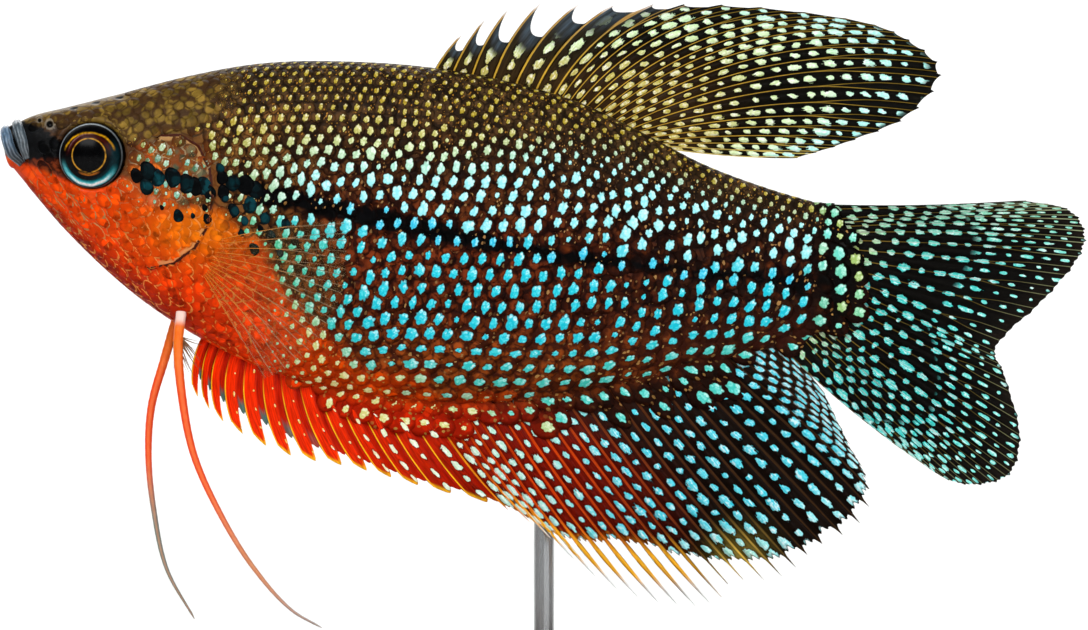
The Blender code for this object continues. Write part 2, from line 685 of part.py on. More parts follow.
def feeler(name, points):
    """A feeler in a few lengths, the first with the pelvic fin's short rays behind its root."""
    marks = np.linspace(0, 1, len(FEELER_RADII))
    reach = np.linalg.norm(np.diff(np.array(points) * MM, axis=0), axis=1).sum()
    for i in range(FEELER_LENGTHS):
        start = i / FEELER_LENGTHS + (GAP / 2 / reach if i > 0 else 0)
        end = (i + 1) / FEELER_LENGTHS - (GAP / 2 / reach if i < FEELER_LENGTHS - 1 else 0)
        shares = np.linspace(start, end, FEELER_STEPS)
        places = [feeler_point(points, share) for share in shares]
        length = tube(f"{name}_{i + 1}", places, through(marks, FEELER_RADII, shares))
        if i == 0:
            length = fitted(combined(length, short_rays(points), "UNION"))
        finished(length, "feeler_skin")


def short_rays(points):
    """The short rays of the pelvic fin, a small fan that leaves the back of the feeler's root."""
    root = feeler_point(points, 0.06)
    rays = []
    for i in range(FAN_COUNT):
        turn = FAN_FROM + FAN_STEP * i
        reach = Vector((math.cos(turn), 0, math.sin(turn))) * FAN_LENGTH * (1 - 0.05 * i)
        rays.append(tube("short ray", [root, root + reach], [FAN_RADIUS, FAN_RADIUS * 0.4], 1))
    return rays


def stand():
    """A plate with rounded corners, and a rod with a foot whose top is cut to the body's far side."""
    height = BASE_SIZE[2]
    bm = bmesh.new()
    bmesh.ops.create_cube(bm, size=1)
    bmesh.ops.scale(bm, vec=BASE_SIZE, verts=bm.verts)
    upright = [edge for edge in bm.edges if abs(edge.verts[0].co.z - edge.verts[1].co.z) > height / 2]
    bmesh.ops.bevel(bm, geom=upright, offset=BASE_CORNER, segments=8, profile=0.5, affect="EDGES")
    rim = [edge for edge in bm.edges if min(vert.co.z for vert in edge.verts) > height * 0.4]
    bmesh.ops.bevel(bm, geom=rim, offset=BASE_RIM, segments=2, profile=0.5, affect="EDGES")
    base = object_from("stand_base", bm)
    base.location.z = height / 2
    finished(base, "oiled_wood")

    at = (x_of(ROD_AT[0]), ROD_AT[1])
    bottom, top = height + GAP, z_of(ROD_TOP)
    rod = tube("stand_rod", [(*at, bottom), (*at, top)], [ROD_RADIUS] * 2, 4)
    foot = tube("foot", [(*at, bottom), (*at, bottom + FOOT_THICKNESS)], [FOOT_RADIUS] * 2, 6)
    finished(fitted(combined(rod, [foot], "UNION")), "brushed_steel")


def main():
    for obj in list(bpy.data.objects):
        bpy.data.objects.remove(obj)
    for name in ("pearl_gourami", "workshop"):
        bpy.context.scene.collection.children.link(bpy.data.collections.new(name))
    centre = bpy.data.objects.new("pearl_gourami_centre", None)
    bpy.data.collections["pearl_gourami"].objects.link(centre)
    trunk_and_stalk()
    head()
    lower_jaw()
    eyes()
    dorsal_fin()
    anal_fin()
    tail_fin()
    pectoral_fin("pectoral_fin_left", -1)
    pectoral_fin("pectoral_fin_right", 1)
    feeler("feeler_left", LEFT_FEELER)
    feeler("feeler_right", RIGHT_FEELER)
    stand()


main()
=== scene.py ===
# %% [markdown]
# # A pearl gourami in its skin, scales and fins
#
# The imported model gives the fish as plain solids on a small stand. This lesson dresses it: one smooth skin,
# some 2,700 overlapping scales, five fins with their rays, two feelers and two eyes, each worked
# out as a surface from a few named sizes. Points are written (a, y, h) in millimetres: a runs from the lips
# to the tail, y to the fish's right, and h up from the tips of the feelers. One function turns them into
# Blender's metres at the very end, so that every number below can be held against a ruler.

import math
from functools import partial

import bpy
import numpy as np
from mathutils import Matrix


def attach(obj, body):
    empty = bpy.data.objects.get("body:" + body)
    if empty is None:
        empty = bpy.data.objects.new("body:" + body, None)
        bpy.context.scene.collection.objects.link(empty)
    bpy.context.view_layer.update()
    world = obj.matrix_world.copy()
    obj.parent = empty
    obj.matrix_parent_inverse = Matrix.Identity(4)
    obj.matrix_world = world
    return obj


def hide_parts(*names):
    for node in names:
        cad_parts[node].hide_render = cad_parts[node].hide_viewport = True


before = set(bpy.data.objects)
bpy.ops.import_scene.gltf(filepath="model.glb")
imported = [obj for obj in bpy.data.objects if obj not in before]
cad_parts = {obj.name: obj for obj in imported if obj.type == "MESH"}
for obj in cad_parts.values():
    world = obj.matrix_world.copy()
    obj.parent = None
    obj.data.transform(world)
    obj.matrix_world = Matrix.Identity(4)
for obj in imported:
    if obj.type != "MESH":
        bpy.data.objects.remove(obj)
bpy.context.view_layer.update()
print("nodes in the frame:", len(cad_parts))

# %% Units, places and chance
MM = 0.001
FISH_LENGTH = 108.8
LIFT = 6.0
SIDES = {"left": -1, "right": 1}
SEED = 7
chance = np.random.default_rng(SEED)


def metres(points):
    """World places of points (a, y, h): the fish's middle goes to X = 0, and all of it up off the plate."""
    return (np.asarray(points, float) + (-FISH_LENGTH / 2, 0, LIFT)) * MM


def linear(value):
    """An sRGB channel as linear light: a straight part near black, and a power of 2.4 above it."""
    return value / 12.92 if value <= 0.04045 else ((value + 0.055) / 1.055) ** 2.4


def colour(text):
    """The linear red, green and blue of a hex colour. An array is linear already and stays."""
    if isinstance(text, np.ndarray):
        return text
    return np.array([linear(int(text[i:i + 2], 16) / 255) for i in (1, 3, 5)])


def rgba(text):
    """A hex colour for a node's input, with an alpha of 1."""
    return (*colour(text), 1)


def smooth(low, high, value):
    """0 below low, 1 above high, and an S-shaped rise between them. High may be the smaller of the two."""
    t = np.clip((value - low) / (high - low), 0, 1)
    return t * t * (3 - 2 * t)


def blended(look, *layers):
    """A look with layers of colour laid over it in turn, each by its share from 0 to 1."""
    look = colour(look)
    for over, share in layers:
        share = np.asarray(share)[..., None]
        look = look * (1 - share) + colour(over) * share
    return look


print("the fish is", FISH_LENGTH, "mm long, its lowest point", LIFT, "mm above the ground")

# %% [markdown]
# ## From arrays to meshes
#
# A mesh is a list of points and a list of faces. Worked out as whole arrays they go into Blender in one
# call each, which is hundreds of times faster than adding points one by one. Values that the materials need
# later, such as a scale's own colour, travel with the points as attributes.

# %% Mesh helpers
def grid_faces(rows, columns, closed=False):
    """The corners of each cell of a grid numbered row by row; closed joins the last column to the first."""
    i, j = np.meshgrid(np.arange(rows - 1), np.arange(columns - (not closed)), indexing="ij")
    right = (j + 1) % columns
    return np.stack([i * columns + j, i * columns + right, (i + 1) * columns + right, (i + 1) * columns + j],
                    axis=-1).reshape(-1, 4)


def tube_faces(rings, around):
    """Quads between a tube's rings, and fans that close its ends at the two points after them."""
    i = np.arange(around)
    after, last, poles = (i + 1) % around, (rings - 1) * around, rings * around
    return [grid_faces(rings, around, closed=True), np.stack([np.full(around, poles), after, i], axis=1),
            np.stack([np.full(around, poles + 1), last + i, last + after], axis=1)]


def volume_of(points, groups):
    """The volume inside faces: a sixth of the sum of p0 . (p1 x p2), positive where they face outwards."""
    total = 0.0
    for group in groups:
        corners = points[group]
        for j in range(1, group.shape[1] - 1):
            total += (corners[:, 0] * np.cross(corners[:, j], corners[:, j + 1])).sum() / 6
    return total


def piece(name, points, groups, material, attributes=None, bake=None):
    """An object at the origin from points (a, y, h), groups of faces of one size each, and point values.

    Bake gives each point its place on a flat map.
    """
    groups = [np.asarray(group, int) for group in groups]
    if volume_of(points, groups) < 0:
        groups = [group[:, ::-1] for group in groups]
    mesh = bpy.data.meshes.new(name)
    mesh.vertices.add(len(points))
    mesh.vertices.foreach_set("co", metres(points).ravel())
    corners = np.concatenate([group.ravel() for group in groups])
    sizes = np.concatenate([np.full(len(group), group.shape[1]) for group in groups])
    mesh.loops.add(len(corners))
    mesh.loops.foreach_set("vertex_index", corners)
    mesh.polygons.add(len(sizes))
    mesh.polygons.foreach_set("loop_start", np.cumsum(sizes) - sizes)
    mesh.update(calc_edges=True)
    for key, values in (attributes or {}).items():
        width = 1 if values.ndim == 1 else values.shape[1]
        kind, field = {1: ("FLOAT", "value"), 2: ("FLOAT2", "vector"), 3: ("FLOAT_VECTOR", "vector"),
                       4: ("FLOAT_COLOR", "color")}[width]
        mesh.attributes.new(key, kind, "POINT").data.foreach_set(field, values.astype(np.float32).ravel())
    if bake is not None:
        mesh.uv_layers.new(name="OFBake").data.foreach_set("uv", bake[corners].astype(np.float32).ravel())
    mesh.shade_smooth()
    mesh.materials.append(material)
    made = bpy.data.objects.new(name, mesh)
    bpy.context.scene.collection.objects.link(made)
    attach(made, "root")
    print(f"{name}: {len(points)} points, {int((sizes - 2).sum())} triangles")
    return made


def with_alpha(colours, alpha):
    """Colours with a fourth column, which carries a value of its own."""
    return np.column_stack([colours, np.broadcast_to(alpha, len(colours))])


print("faces of a tube of 3 rings of 8 points:", sum(map(len, tube_faces(3, 8))))

# %% [markdown]
# ## Material helper
#
# A procedural material is a small graph of nodes. One function adds a node, sets its options and fills its
# inputs: in order, counting those that its options leave in use, or by name where a node has many. An input
# may be a number, a colour or another node's output. Each material below gets this function with its own
# graph filled in. Real skin has no clean lines, so most limits in the patterns are frayed by a noise.

# %% One function for nodes
def add_node(graph, kind, *values, out=None, named=None, **settings):
    """Adds a node, such as Gamma or Math.ADD, and gives its first output in use or those named in out."""
    kind, _, operation = kind.partition(".")
    made = graph.nodes.new("ShaderNode" + kind)
    for key, value in {**settings, **({"operation": operation} if operation else {})}.items():
        setattr(made, key, value)
    filled = list(zip([socket for socket in made.inputs if socket.enabled], values))
    for socket, value in filled + [(made.inputs[key], value) for key, value in (named or {}).items()]:
        if isinstance(value, bpy.types.NodeSocket):
            graph.links.new(value, socket)
        else:
            socket.default_value = value
    if out:
        return [made.outputs[key] for key in out] if isinstance(out, tuple) else made.outputs[out]
    return next((socket for socket in made.outputs if socket.enabled), made)


def new_material(name):
    """An empty node material, and the function that adds nodes to it."""
    made = bpy.data.materials.new(name)
    made.use_nodes = True
    made.node_tree.nodes.clear()
    return made, partial(add_node, made.node_tree)


def frayed(add, value, noise, amount, **settings):
    """The value with a noise that moves it to both sides: value + amount (noise - 1/2)."""
    return add("Math.MULTIPLY_ADD", add("Math.SUBTRACT", noise, 0.5), amount, value, **settings)


SOFT = {"interpolation_type": "SMOOTHSTEP"}
# What every wet part of the fish has: living tissue, which bends light like water, under a film of water.
WET = {"IOR": 1.34, "Coat Roughness": 0.1, "Coat IOR": 1.33}
print("wet parts:", WET)

# %% [markdown]
# ## The camera, the light and the pale surroundings
#
# A long lens far away flattens the fish as a field guide shows it. The view is 108.8 millimetres wide at the
# fish, which fixes the lens once the distance is chosen.
# The light comes from large soft panels. The surroundings are much darker than the backdrop, because a wet
# black membrane would otherwise mirror them and turn grey. The backdrop is one sheet of paper, bent up
# behind the fish in a quarter circle, so that no edge shows between floor and wall.

# %% Camera
CAMERA_DISTANCE = 1.5
VIEW_WIDTH = 108.8 * MM
VIEW_MIDDLE = (0.0, 37.3 * MM)
SENSOR = 36.0

lens = bpy.data.cameras.new("long_lens")
lens.sensor_width = SENSOR
lens.lens = SENSOR * CAMERA_DISTANCE / VIEW_WIDTH
camera = bpy.data.objects.new("camera", lens)
camera.location = (VIEW_MIDDLE[0], -CAMERA_DISTANCE, VIEW_MIDDLE[1])
camera.rotation_euler = (math.pi / 2, 0, 0)
bpy.context.scene.collection.objects.link(camera)
bpy.context.scene.camera = camera
print("lens", round(lens.lens), "mm")

# %% Light
WORLD_LIGHT = 0.12


def light_panel(name, place, turn, size, power):
    """A soft light: its place in metres, its turn in degrees, its sides in metres and its power in watts."""
    light = bpy.data.lights.new(name, "AREA")
    light.shape = "RECTANGLE"
    light.size, light.size_y = size
    light.energy = power
    made = bpy.data.objects.new(name, light)
    made.location = place
    made.rotation_euler = [math.radians(angle) for angle in turn]
    bpy.context.scene.collection.objects.link(made)


light_panel("key_panel", (-0.25, -0.55, 0.55), (48, 0, -24), (0.5, 0.35), 4.8)
light_panel("fill_panel", (0.45, -0.5, 0.25), (70, 0, 42), (0.4, 0.4), 1.6)
light_panel("rim_panel", (0.1, 0.4, 0.45), (-45, 0, 0), (0.6, 0.3), 1.0)
light_panel("backdrop_panel", (0.0, 0.1, 0.75), (112, 0, 0), (1.6, 0.4), 16.0)

world = bpy.data.worlds.new("studio")
world.use_nodes = True
world.node_tree.nodes["Background"].inputs["Color"].default_value = rgba("#FFFFFF")
world.node_tree.nodes["Background"].inputs["Strength"].default_value = WORLD_LIGHT
bpy.context.scene.world = world
bpy.context.scene.view_settings.view_transform = "Standard"
print("light panels:", len(bpy.data.lights))

# %% Floor and backdrop
SWEEP_HALF_WIDTH = 1.5
SWEEP_FRONT, SWEEP_BACK, SWEEP_TOP, SWEEP_BEND = -1.2, 0.7, 1.4, 0.35
SWEEP_STEPS = 90

# Matt white card scatters light and hardly shines. Its back is clear for a camera that looks from behind.
paper, add = new_material("matt_paper_sweep")
front = add("BsdfPrincipled", named={
    "Base Color": rgba("#F8F8F7"), "Roughness": 0.9, "Specular IOR Level": 0.1})
add("OutputMaterial", add("MixShader", add("NewGeometry", out="Backfacing"), front, add("BsdfTransparent")))


def sweep_profile(s):
    """The paper's line over the floor, round a quarter circle and up: depth and height at shares s."""
    flat, bend = SWEEP_BACK - SWEEP_BEND - SWEEP_FRONT, SWEEP_BEND * math.pi / 2
    run = s * (flat + bend + SWEEP_TOP - SWEEP_BEND)
    angle = np.clip((run - flat) / SWEEP_BEND, 0, math.pi / 2)
    y = SWEEP_FRONT + np.minimum(run, flat) + SWEEP_BEND * np.sin(angle)
    z = SWEEP_BEND * (1 - np.cos(angle)) + np.maximum(run - flat - bend, 0)
    return y, z


sweep_y, sweep_z = sweep_profile(np.linspace(0, 1, SWEEP_STEPS))
sweep_points = np.concatenate([np.column_stack([np.full(SWEEP_STEPS, x), sweep_y, sweep_z])
                               for x in (SWEEP_HALF_WIDTH, -SWEEP_HALF_WIDTH)])
sweep_mesh = bpy.data.meshes.new("paper_sweep")
sweep_mesh.from_pydata(sweep_points, [], grid_faces(2, SWEEP_STEPS).tolist())
sweep_mesh.shade_smooth()
sweep_mesh.materials.append(paper)
sweep = bpy.data.objects.new("paper_sweep", sweep_mesh)
bpy.context.scene.collection.objects.link(sweep)
print("paper sweep:", len(sweep_points), "points")

# %% [markdown]
# ## The body as a surface
#
# A deep, flat fish is easy to describe by its outline: the height of the back, the height of the belly and
# the half width at a few stations. A smooth curve runs through each row of numbers, and every cross-section
# is a rounded shape that is full at the back and drawn in to a keel at the belly. The stations are the same
# as in the solids, so the skin lies just inside them, by the depth that the scales need. A sculpted mesh
# would do too, but a surface with a formula can tell every scale its place.

# %% The body's tables
STATION = np.array([1.2, 3.2, 6.4, 12.8, 19.2, 25.6, 32.0, 44.8, 57.6, 64.0, 70.4, 76.8, 82.6])
BACK = np.array([50.5, 51.4, 52.2, 53.8, 55.4, 56.5, 56.8, 55.9, 52.8, 49.8, 46.5, 44.1, 42.4])
BELLY = np.array([45.8, 43.4, 39.7, 33.7, 29.3, 26.1, 24.0, 22.4, 23.3, 24.6, 26.1, 27.7, 28.6])
HALF_WIDTH = np.array([1.3, 2.4, 3.7, 5.1, 5.9, 6.2, 6.2, 5.9, 4.8, 4.0, 3.2, 2.4, 1.7])
SNOUT = (0.2, 48.7)
TAIL_ROOT = (85.8, 35.3)
TAIL_ARC_CENTRE, TAIL_ARC_REACH, TAIL_ARC_HEIGHT = 79.0, 6.0, 7.3
BACK_ROUNDS_FROM, BELLY_ROUNDS_FROM, SIDES_ROUND_FROM = 82.4, 78.0, 79.0
WIDEST_AT = 0.56
BACK_FULLNESS, BREAST_FULLNESS, KEEL_FULLNESS = 0.86, 0.8, 1.25
BREAST_ENDS, KEEL_STARTS = 16.0, 36.0
LEAST_WIDTH = 0.05
COAT_DEPTH = 0.16
COAT_LEAVES, COAT_ENDS = 81.5, 90.0
FIN_ROOT_HALF, FIN_ROOT_THINS = 0.3, 3.7


def through(stations, values, at):
    """Values at the asked places on the smooth curve through the given stations (cubic Hermite pieces)."""
    at = np.asarray(at, float)
    rise = np.diff(values) / np.diff(stations)
    slope = np.concatenate([rise[:1], (rise[:-1] + rise[1:]) / 2, rise[-1:]])
    low = np.clip(np.searchsorted(stations, at) - 1, 0, len(stations) - 2)
    span = stations[low + 1] - stations[low]
    t = np.clip((at - stations[low]) / span, 0, 1)
    return ((2 * t**3 - 3 * t**2 + 1) * values[low] + (t**3 - 2 * t**2 + t) * span * slope[low]
            + (3 * t**2 - 2 * t**3) * values[low + 1] + (t**3 - t**2) * span * slope[low + 1])


def rounding(at, start, end):
    """1 up to start, then a quarter ellipse that falls to 0 at end."""
    return np.sqrt(1 - np.clip((at - start) / (end - start), 0, 1) ** 2)


def body_levels(a):
    """Back, belly and half width of the body at stations a, with both ends rounded off."""
    nose = rounding(a, STATION[0], SNOUT[0])
    back = SNOUT[1] + (through(STATION, BACK, a) - SNOUT[1]) * nose
    belly = SNOUT[1] + (through(STATION, BELLY, a) - SNOUT[1]) * nose
    back = TAIL_ROOT[1] + (back - TAIL_ROOT[1]) * rounding(a, BACK_ROUNDS_FROM, TAIL_ROOT[0])
    belly = TAIL_ROOT[1] + (belly - TAIL_ROOT[1]) * rounding(a, BELLY_ROUNDS_FROM, TAIL_ROOT[0])
    width = through(STATION, HALF_WIDTH, a) * nose * rounding(a, SIDES_ROUND_FROM, TAIL_ROOT[0])
    return back, belly, width


def coat_levels(a):
    """The levels that the scales follow: the body's and, behind it, the tail fin's root, thinning out."""
    back, belly, width = body_levels(np.minimum(a, COAT_LEAVES))
    on = np.maximum(a - COAT_LEAVES, 0)
    half = FIN_ROOT_HALF + (width - FIN_ROOT_HALF) * np.exp(-(on / FIN_ROOT_THINS) ** 2)
    return back - on * 0.05, belly - on * 0.42 + 0.02 * on**2, half


def fullness(a, upper):
    """The power that rounds a section: full above; below, full at the breast and a keel further back."""
    keel = np.clip((a - BREAST_ENDS) / (KEEL_STARTS - BREAST_ENDS), 0, 1)
    return np.where(upper, BACK_FULLNESS, BREAST_FULLNESS + (KEEL_FULLNESS - BREAST_FULLNESS) * keel)


def section(levels, a, turn):
    """Points at stations a and angles turn from the back (0) down to the belly (pi), inside the solids."""
    back, belly, width = levels(a)
    middle = belly + WIDEST_AT * (back - belly)
    upper = np.cos(turn) >= 0
    reach = np.maximum(np.where(upper, back - middle, middle - belly) - COAT_DEPTH, LEAST_WIDTH)
    y = np.maximum(width - COAT_DEPTH, LEAST_WIDTH) * np.sin(turn) ** fullness(a, upper)
    length = TAIL_ROOT[0] - SNOUT[0]
    return np.stack([a - COAT_DEPTH * (2 * (a - SNOUT[0]) / length - 1), y, middle + reach * np.cos(turn)],
                    axis=-1)


print("the body is at most", round(float((BACK - BELLY).max()), 1), "mm deep")

# %% The side of the body as a sheet
SHEET_ROWS, SHEET_COLUMNS = 900, 400
END_SHARE = 0.999


class Sheet:
    """One side of the body, resampled at even lengths from back to belly, to look places up on."""

    def __init__(self, levels, end):
        """Rows crowd together by a half cosine where both ends round off."""
        self.start, self.end = SNOUT[0], end
        a = self.station_of(np.linspace(1 - END_SHARE, END_SHARE, SHEET_ROWS))[:, None]
        turn = np.linspace(0, math.pi, 3 * SHEET_COLUMNS)[None, :]
        fine = section(levels, *np.broadcast_arrays(a, turn))
        steps = np.linalg.norm(np.diff(fine, axis=1), axis=2)
        run = np.concatenate([np.zeros((SHEET_ROWS, 1)), np.cumsum(steps, axis=1)], axis=1)
        even = np.linspace(0, 1, SHEET_COLUMNS)
        turns = np.array([np.interp(even, row / row[-1], turn[0]) for row in run])
        self.points = section(levels, *np.broadcast_arrays(a, turns))
        normals = np.cross(np.gradient(self.points, axis=0), np.gradient(self.points, axis=1))
        normals /= np.maximum(np.linalg.norm(normals, axis=2, keepdims=True), 1e-12)
        self.normals = normals * np.sign(normals[SHEET_ROWS // 2, SHEET_COLUMNS // 2, 1])
        self.girth = run[:, -1]

    def station_of(self, t):
        """The station at a share t of the rows."""
        return self.start + (self.end - self.start) * (1 - np.cos(t * math.pi)) / 2

    def share_of(self, a):
        """The share of the rows at a station."""
        return np.arccos(np.clip(1 - 2 * (a - self.start) / (self.end - self.start), -1, 1)) / math.pi

    def row_of(self, a):
        """The row at a station, with its fraction."""
        return (self.share_of(a) - (1 - END_SHARE)) / (2 * END_SHARE - 1) * (SHEET_ROWS - 1)

    def girth_at(self, a):
        """Length down the side from back to belly at stations a."""
        return np.interp(self.row_of(a), np.arange(SHEET_ROWS), self.girth)

    def sampled(self, table, a, q):
        """The table's value between its four nearest entries, at stations a and shares q of the way down."""
        i = np.clip(self.row_of(a), 0, SHEET_ROWS - 1.001)
        j = np.clip(q, 0, 1) * (SHEET_COLUMNS - 1.001)
        low_i, low_j = i.astype(int), j.astype(int)
        di, dj = (i - low_i)[..., None], (j - low_j)[..., None]
        return ((table[low_i, low_j] * (1 - di) + table[low_i + 1, low_j] * di) * (1 - dj)
                + (table[low_i, low_j + 1] * (1 - di) + table[low_i + 1, low_j + 1] * di) * dj)

    def on_side(self, side, a, q):
        """Point and normal on a side; q below 0 or above 1 goes over the ridge to the other side."""
        across = np.where((q < 0) | (q > 1), -side, side)
        folded = np.where(q < 0, -q, np.where(q > 1, 2 - q, q))
        flip = np.stack([np.ones_like(across), across, np.ones_like(across)], axis=-1)
        return self.sampled(self.points, a, folded) * flip, self.sampled(self.normals, a, folded) * flip


BODY = Sheet(body_levels, TAIL_ROOT[0])
COAT = Sheet(coat_levels, COAT_ENDS)
print("girth of one side:", round(float(BODY.girth.max()), 1), "mm at most")

# %% [markdown]
# ## The relief of the head
#
# The head's forms are shallow: the eye lies in a socket with a raised rim, the gill cover ends in a free
# edge with a groove behind it, a fold marks its front plate, the mouth is a slit, the nostrils are small
# pits, and three slits lie on the forehead. They could be sculpted; as numbers they are easy to move. Each
# one is a height above the skin, written as a function of the distance to a point or to a drawn line.

# %% Lines and distances on the head
EYE_AT, EYE_RADIUS = (9.3, 47.2), 3.35
GILL_EDGE = np.array([(16.0, 49.2), (18.2, 49.2), (20.0, 48.1), (21.1, 45.8), (21.4, 43.0), (20.9, 40.2),
                      (19.6, 38.0), (17.4, 36.4), (14.9, 35.9)])
GILL_FRONT = np.array([(13.9, 37.6), (14.2, 40.2), (15.2, 43.2), (15.6, 46.4)])
CHEEK_FOLD = np.array([(15.9, 43.6), (15.3, 42.0), (14.5, 40.4), (14.1, 38.9), (14.1, 37.7), (13.1, 36.9),
                       (11.6, 36.7)])
MOUTH_LINE = np.array([(1.45, 50.4), (2.2, 48.4), (2.7, 46.3), (3.6, 44.9)])
NOSTRILS = [(5.05, 50.35, 0.34), (4.0, 50.75, 0.2)]
FOREHEAD_SLITS = [(7.4, 51.95), (9.6, 52.5), (12.0, 53.0)]
GILL_COVER = np.vstack([GILL_EDGE, GILL_FRONT])


def distance_to(line, a, h):
    """The shortest distance from each place (a, h) to a line of straight pieces."""
    nearest = np.full(np.shape(a), 1e9)
    for start, end in zip(line[:-1], line[1:]):
        along = end - start
        t = np.clip(((a - start[0]) * along[0] + (h - start[1]) * along[1]) / (along @ along), 0, 1)
        nearest = np.minimum(nearest, np.hypot(a - start[0] - t * along[0], h - start[1] - t * along[1]))
    return nearest


def inside(outline, a, h):
    """Whether places lie in an outline: a level ray from there crosses it an odd number of times."""
    crossings = np.zeros(np.shape(a), int)
    for start, end in zip(outline, np.roll(outline, -1, axis=0)):
        spans = (start[1] > h) != (end[1] > h)
        rise = np.where(end[1] == start[1], 1e-9, end[1] - start[1])
        crossings += spans & (a < start[0] + (h - start[1]) * (end[0] - start[0]) / rise)
    return crossings % 2 == 1


def relief(a, h):
    """Height above the plain skin: bells exp(-(d/w)^2) and smooth steps of distances d to drawn lines."""
    eye = np.hypot(a - EYE_AT[0], h - EYE_AT[1])
    height = 0.2 * np.exp(-((eye - EYE_RADIUS - 0.4) / 0.3) ** 2)
    height -= 1.5 * smooth(EYE_RADIUS + 0.05, EYE_RADIUS - 0.1, eye)
    edge = distance_to(GILL_EDGE, a, h)
    cover = inside(GILL_COVER, a, h)
    height += np.where(cover, 0.2 * np.exp(-edge / 1.6), -0.25 * np.exp(-(edge / 0.45) ** 2))
    height -= 0.12 * np.exp(-(distance_to(CHEEK_FOLD, a, h) / 0.22) ** 2)
    height -= 0.22 * np.exp(-(distance_to(MOUTH_LINE, a, h) / 0.2) ** 2)
    for at, up, radius in NOSTRILS:
        far = np.hypot(a - at, h - up)
        height += 0.1 * np.exp(-((far - radius - 0.12) / 0.1) ** 2)
        height -= 0.35 * smooth(radius, radius * 0.6, far)
    for at, up in FOREHEAD_SLITS:
        height -= 0.12 * np.exp(-((a - at) / 0.45) ** 2 - ((h - up) / 0.16) ** 2)
    return height


def head_lines(a, h):
    """Distances for the skin's colour: to the gill cover's free edge, negative on the cover, and in radii
    to the nearest nostril or slit and to the nearest nostril."""
    edge = distance_to(GILL_EDGE, a, h)
    cover = inside(GILL_COVER, a, h)
    nostril = np.minimum.reduce([np.hypot(a - at, h - up) / radius for at, up, radius in NOSTRILS])
    slit = np.minimum.reduce([np.hypot((a - at) / 0.42, (h - up - 0.2 * (a - at)) / 0.14)
                              for at, up in FOREHEAD_SLITS])
    return np.stack([np.where(cover, -edge, edge), np.minimum(nostril, slit), nostril], axis=-1)


print("each side has", len(NOSTRILS), "nostrils and", len(FOREHEAD_SLITS), "slits")

# %% [markdown]
# ## Where the colours lie
#
# A male in colour is orange-red from the chin to the breast, olive on the head, brown on the back and
# rust-brown on the flank. A black stripe runs from the mouth through the eye to a spot at the tail's root.
# Pearls sit on this ground: small and olive near the back, white-blue below that, and large and bright cyan
# on the flank. One function returns all of it for any place, so that skin and scales carry the same
# markings. Chance values from 0 to 1 make neighbouring scales differ.

# %% Lines of the colour pattern
RED_LINE = np.array([(0, 47.4), (2, 46.6), (4, 45.8), (6.2, 45.0), (9.3, 43.9), (12.4, 45.0), (15, 44.2),
                     (18, 42.6), (21.5, 41.4), (26, 38.6), (29, 33.4), (32, 29.4), (37, 26.0), (44, 23.6),
                     (50, 22.0), (58, 19.5), (66, 15.0), (90, 4.0)])
STRIPE_LINE = np.array([(0, 46.5), (12, 45.7), (15, 44.9), (20, 44.1), (23, 44.7), (26, 43.4), (33, 42.0),
                        (40, 40.4), (48, 38.6), (56, 37.2), (64, 36.3), (72, 35.4), (80, 34.6), (86, 34.6)])
STRIPE_HALF = np.array([(0, 0.3), (24, 0.4), (26, 1.0), (32, 1.05), (42, 1.05), (50, 0.8), (62, 0.5),
                        (74, 0.45), (79, 0.7), (82, 0.4), (86, 0.2)])
TAIL_SPOT = (79.8, 34.3, 1.2)
HEAD_TOP_LINE = np.array([(0, 50.3), (6, 50.2), (9.3, 49.5), (13, 48.4), (17, 48.8), (21, 50.4), (24, 52.0)])
FIN_LOOK_FROM, FIN_LOOK_AT = 79.0, 84.0

# Dark scales of their own behind the eye: station, height, radius, and how much painted teal sheen each one
# gets.
BLOTCHES = np.array([
    (13.6, 45.2, 0.62, 0.0), (14.7, 45.6, 0.85, 0.1), (14.6, 44.1, 0.7, 0.8), (15.7, 45.0, 0.75, 0.9),
    (17.2, 45.0, 0.85, 0.4), (18.6, 44.4, 0.85, 0.3), (19.5, 44.1, 0.8, 0.0), (20.3, 44.2, 0.8, 0.6),
    (20.9, 43.5, 0.65, 0.1), (22.0, 45.9, 0.45, 1.0), (22.2, 45.0, 0.6, 0.0), (22.3, 43.6, 0.6, 0.0),
    (23.2, 44.5, 0.75, 0.5), (24.4, 44.3, 0.95, 0.0), (25.4, 43.8, 0.85, 0.1), (22.5, 43.0, 0.4, 0.5),
    (23.3, 41.7, 0.6, 0.4), (24.9, 42.3, 0.75, 0.9), (24.4, 40.7, 0.45, 0.6), (24.1, 39.5, 0.35, 0.3),
    (25.3, 37.9, 0.6, 0.2), (26.4, 41.0, 0.6, 0.7), (27.0, 39.2, 0.55, 0.3), (26.0, 39.9, 0.35, 0.2),
    (17.8, 41.2, 0.55, 0.6), (19.3, 41.2, 0.25, 0.3), (20.7, 40.9, 0.45, 0.1), (20.5, 42.0, 0.3, 0.0),
    (16.2, 42.0, 0.22, 0.0), (28.4, 40.4, 0.6, 0.4), (27.9, 37.5, 0.45, 0.3), (29.4, 38.6, 0.5, 0.2)])


def along_line(line, a):
    """The height of a drawn line at stations a."""
    return np.interp(a, line[:, 0], line[:, 1])


def ripple(a, h, size):
    """A wandering value from -1 to 1: sines of two slanting directions, with waves about size long."""
    k = 2 * math.pi / size
    return (np.sin(k * (a + 0.6 * h) + 1.3) * np.cos(k * (0.8 * a - h) * 0.77)
            + np.sin(k * 1.7 * (h - 0.3 * a) + 4)) / 2


def choice(luck, options):
    """One of several colours for each place, by its chance value."""
    picks = np.minimum((luck * len(options)).astype(int), len(options) - 1)
    return np.array([colour(text) for text in options])[picks]


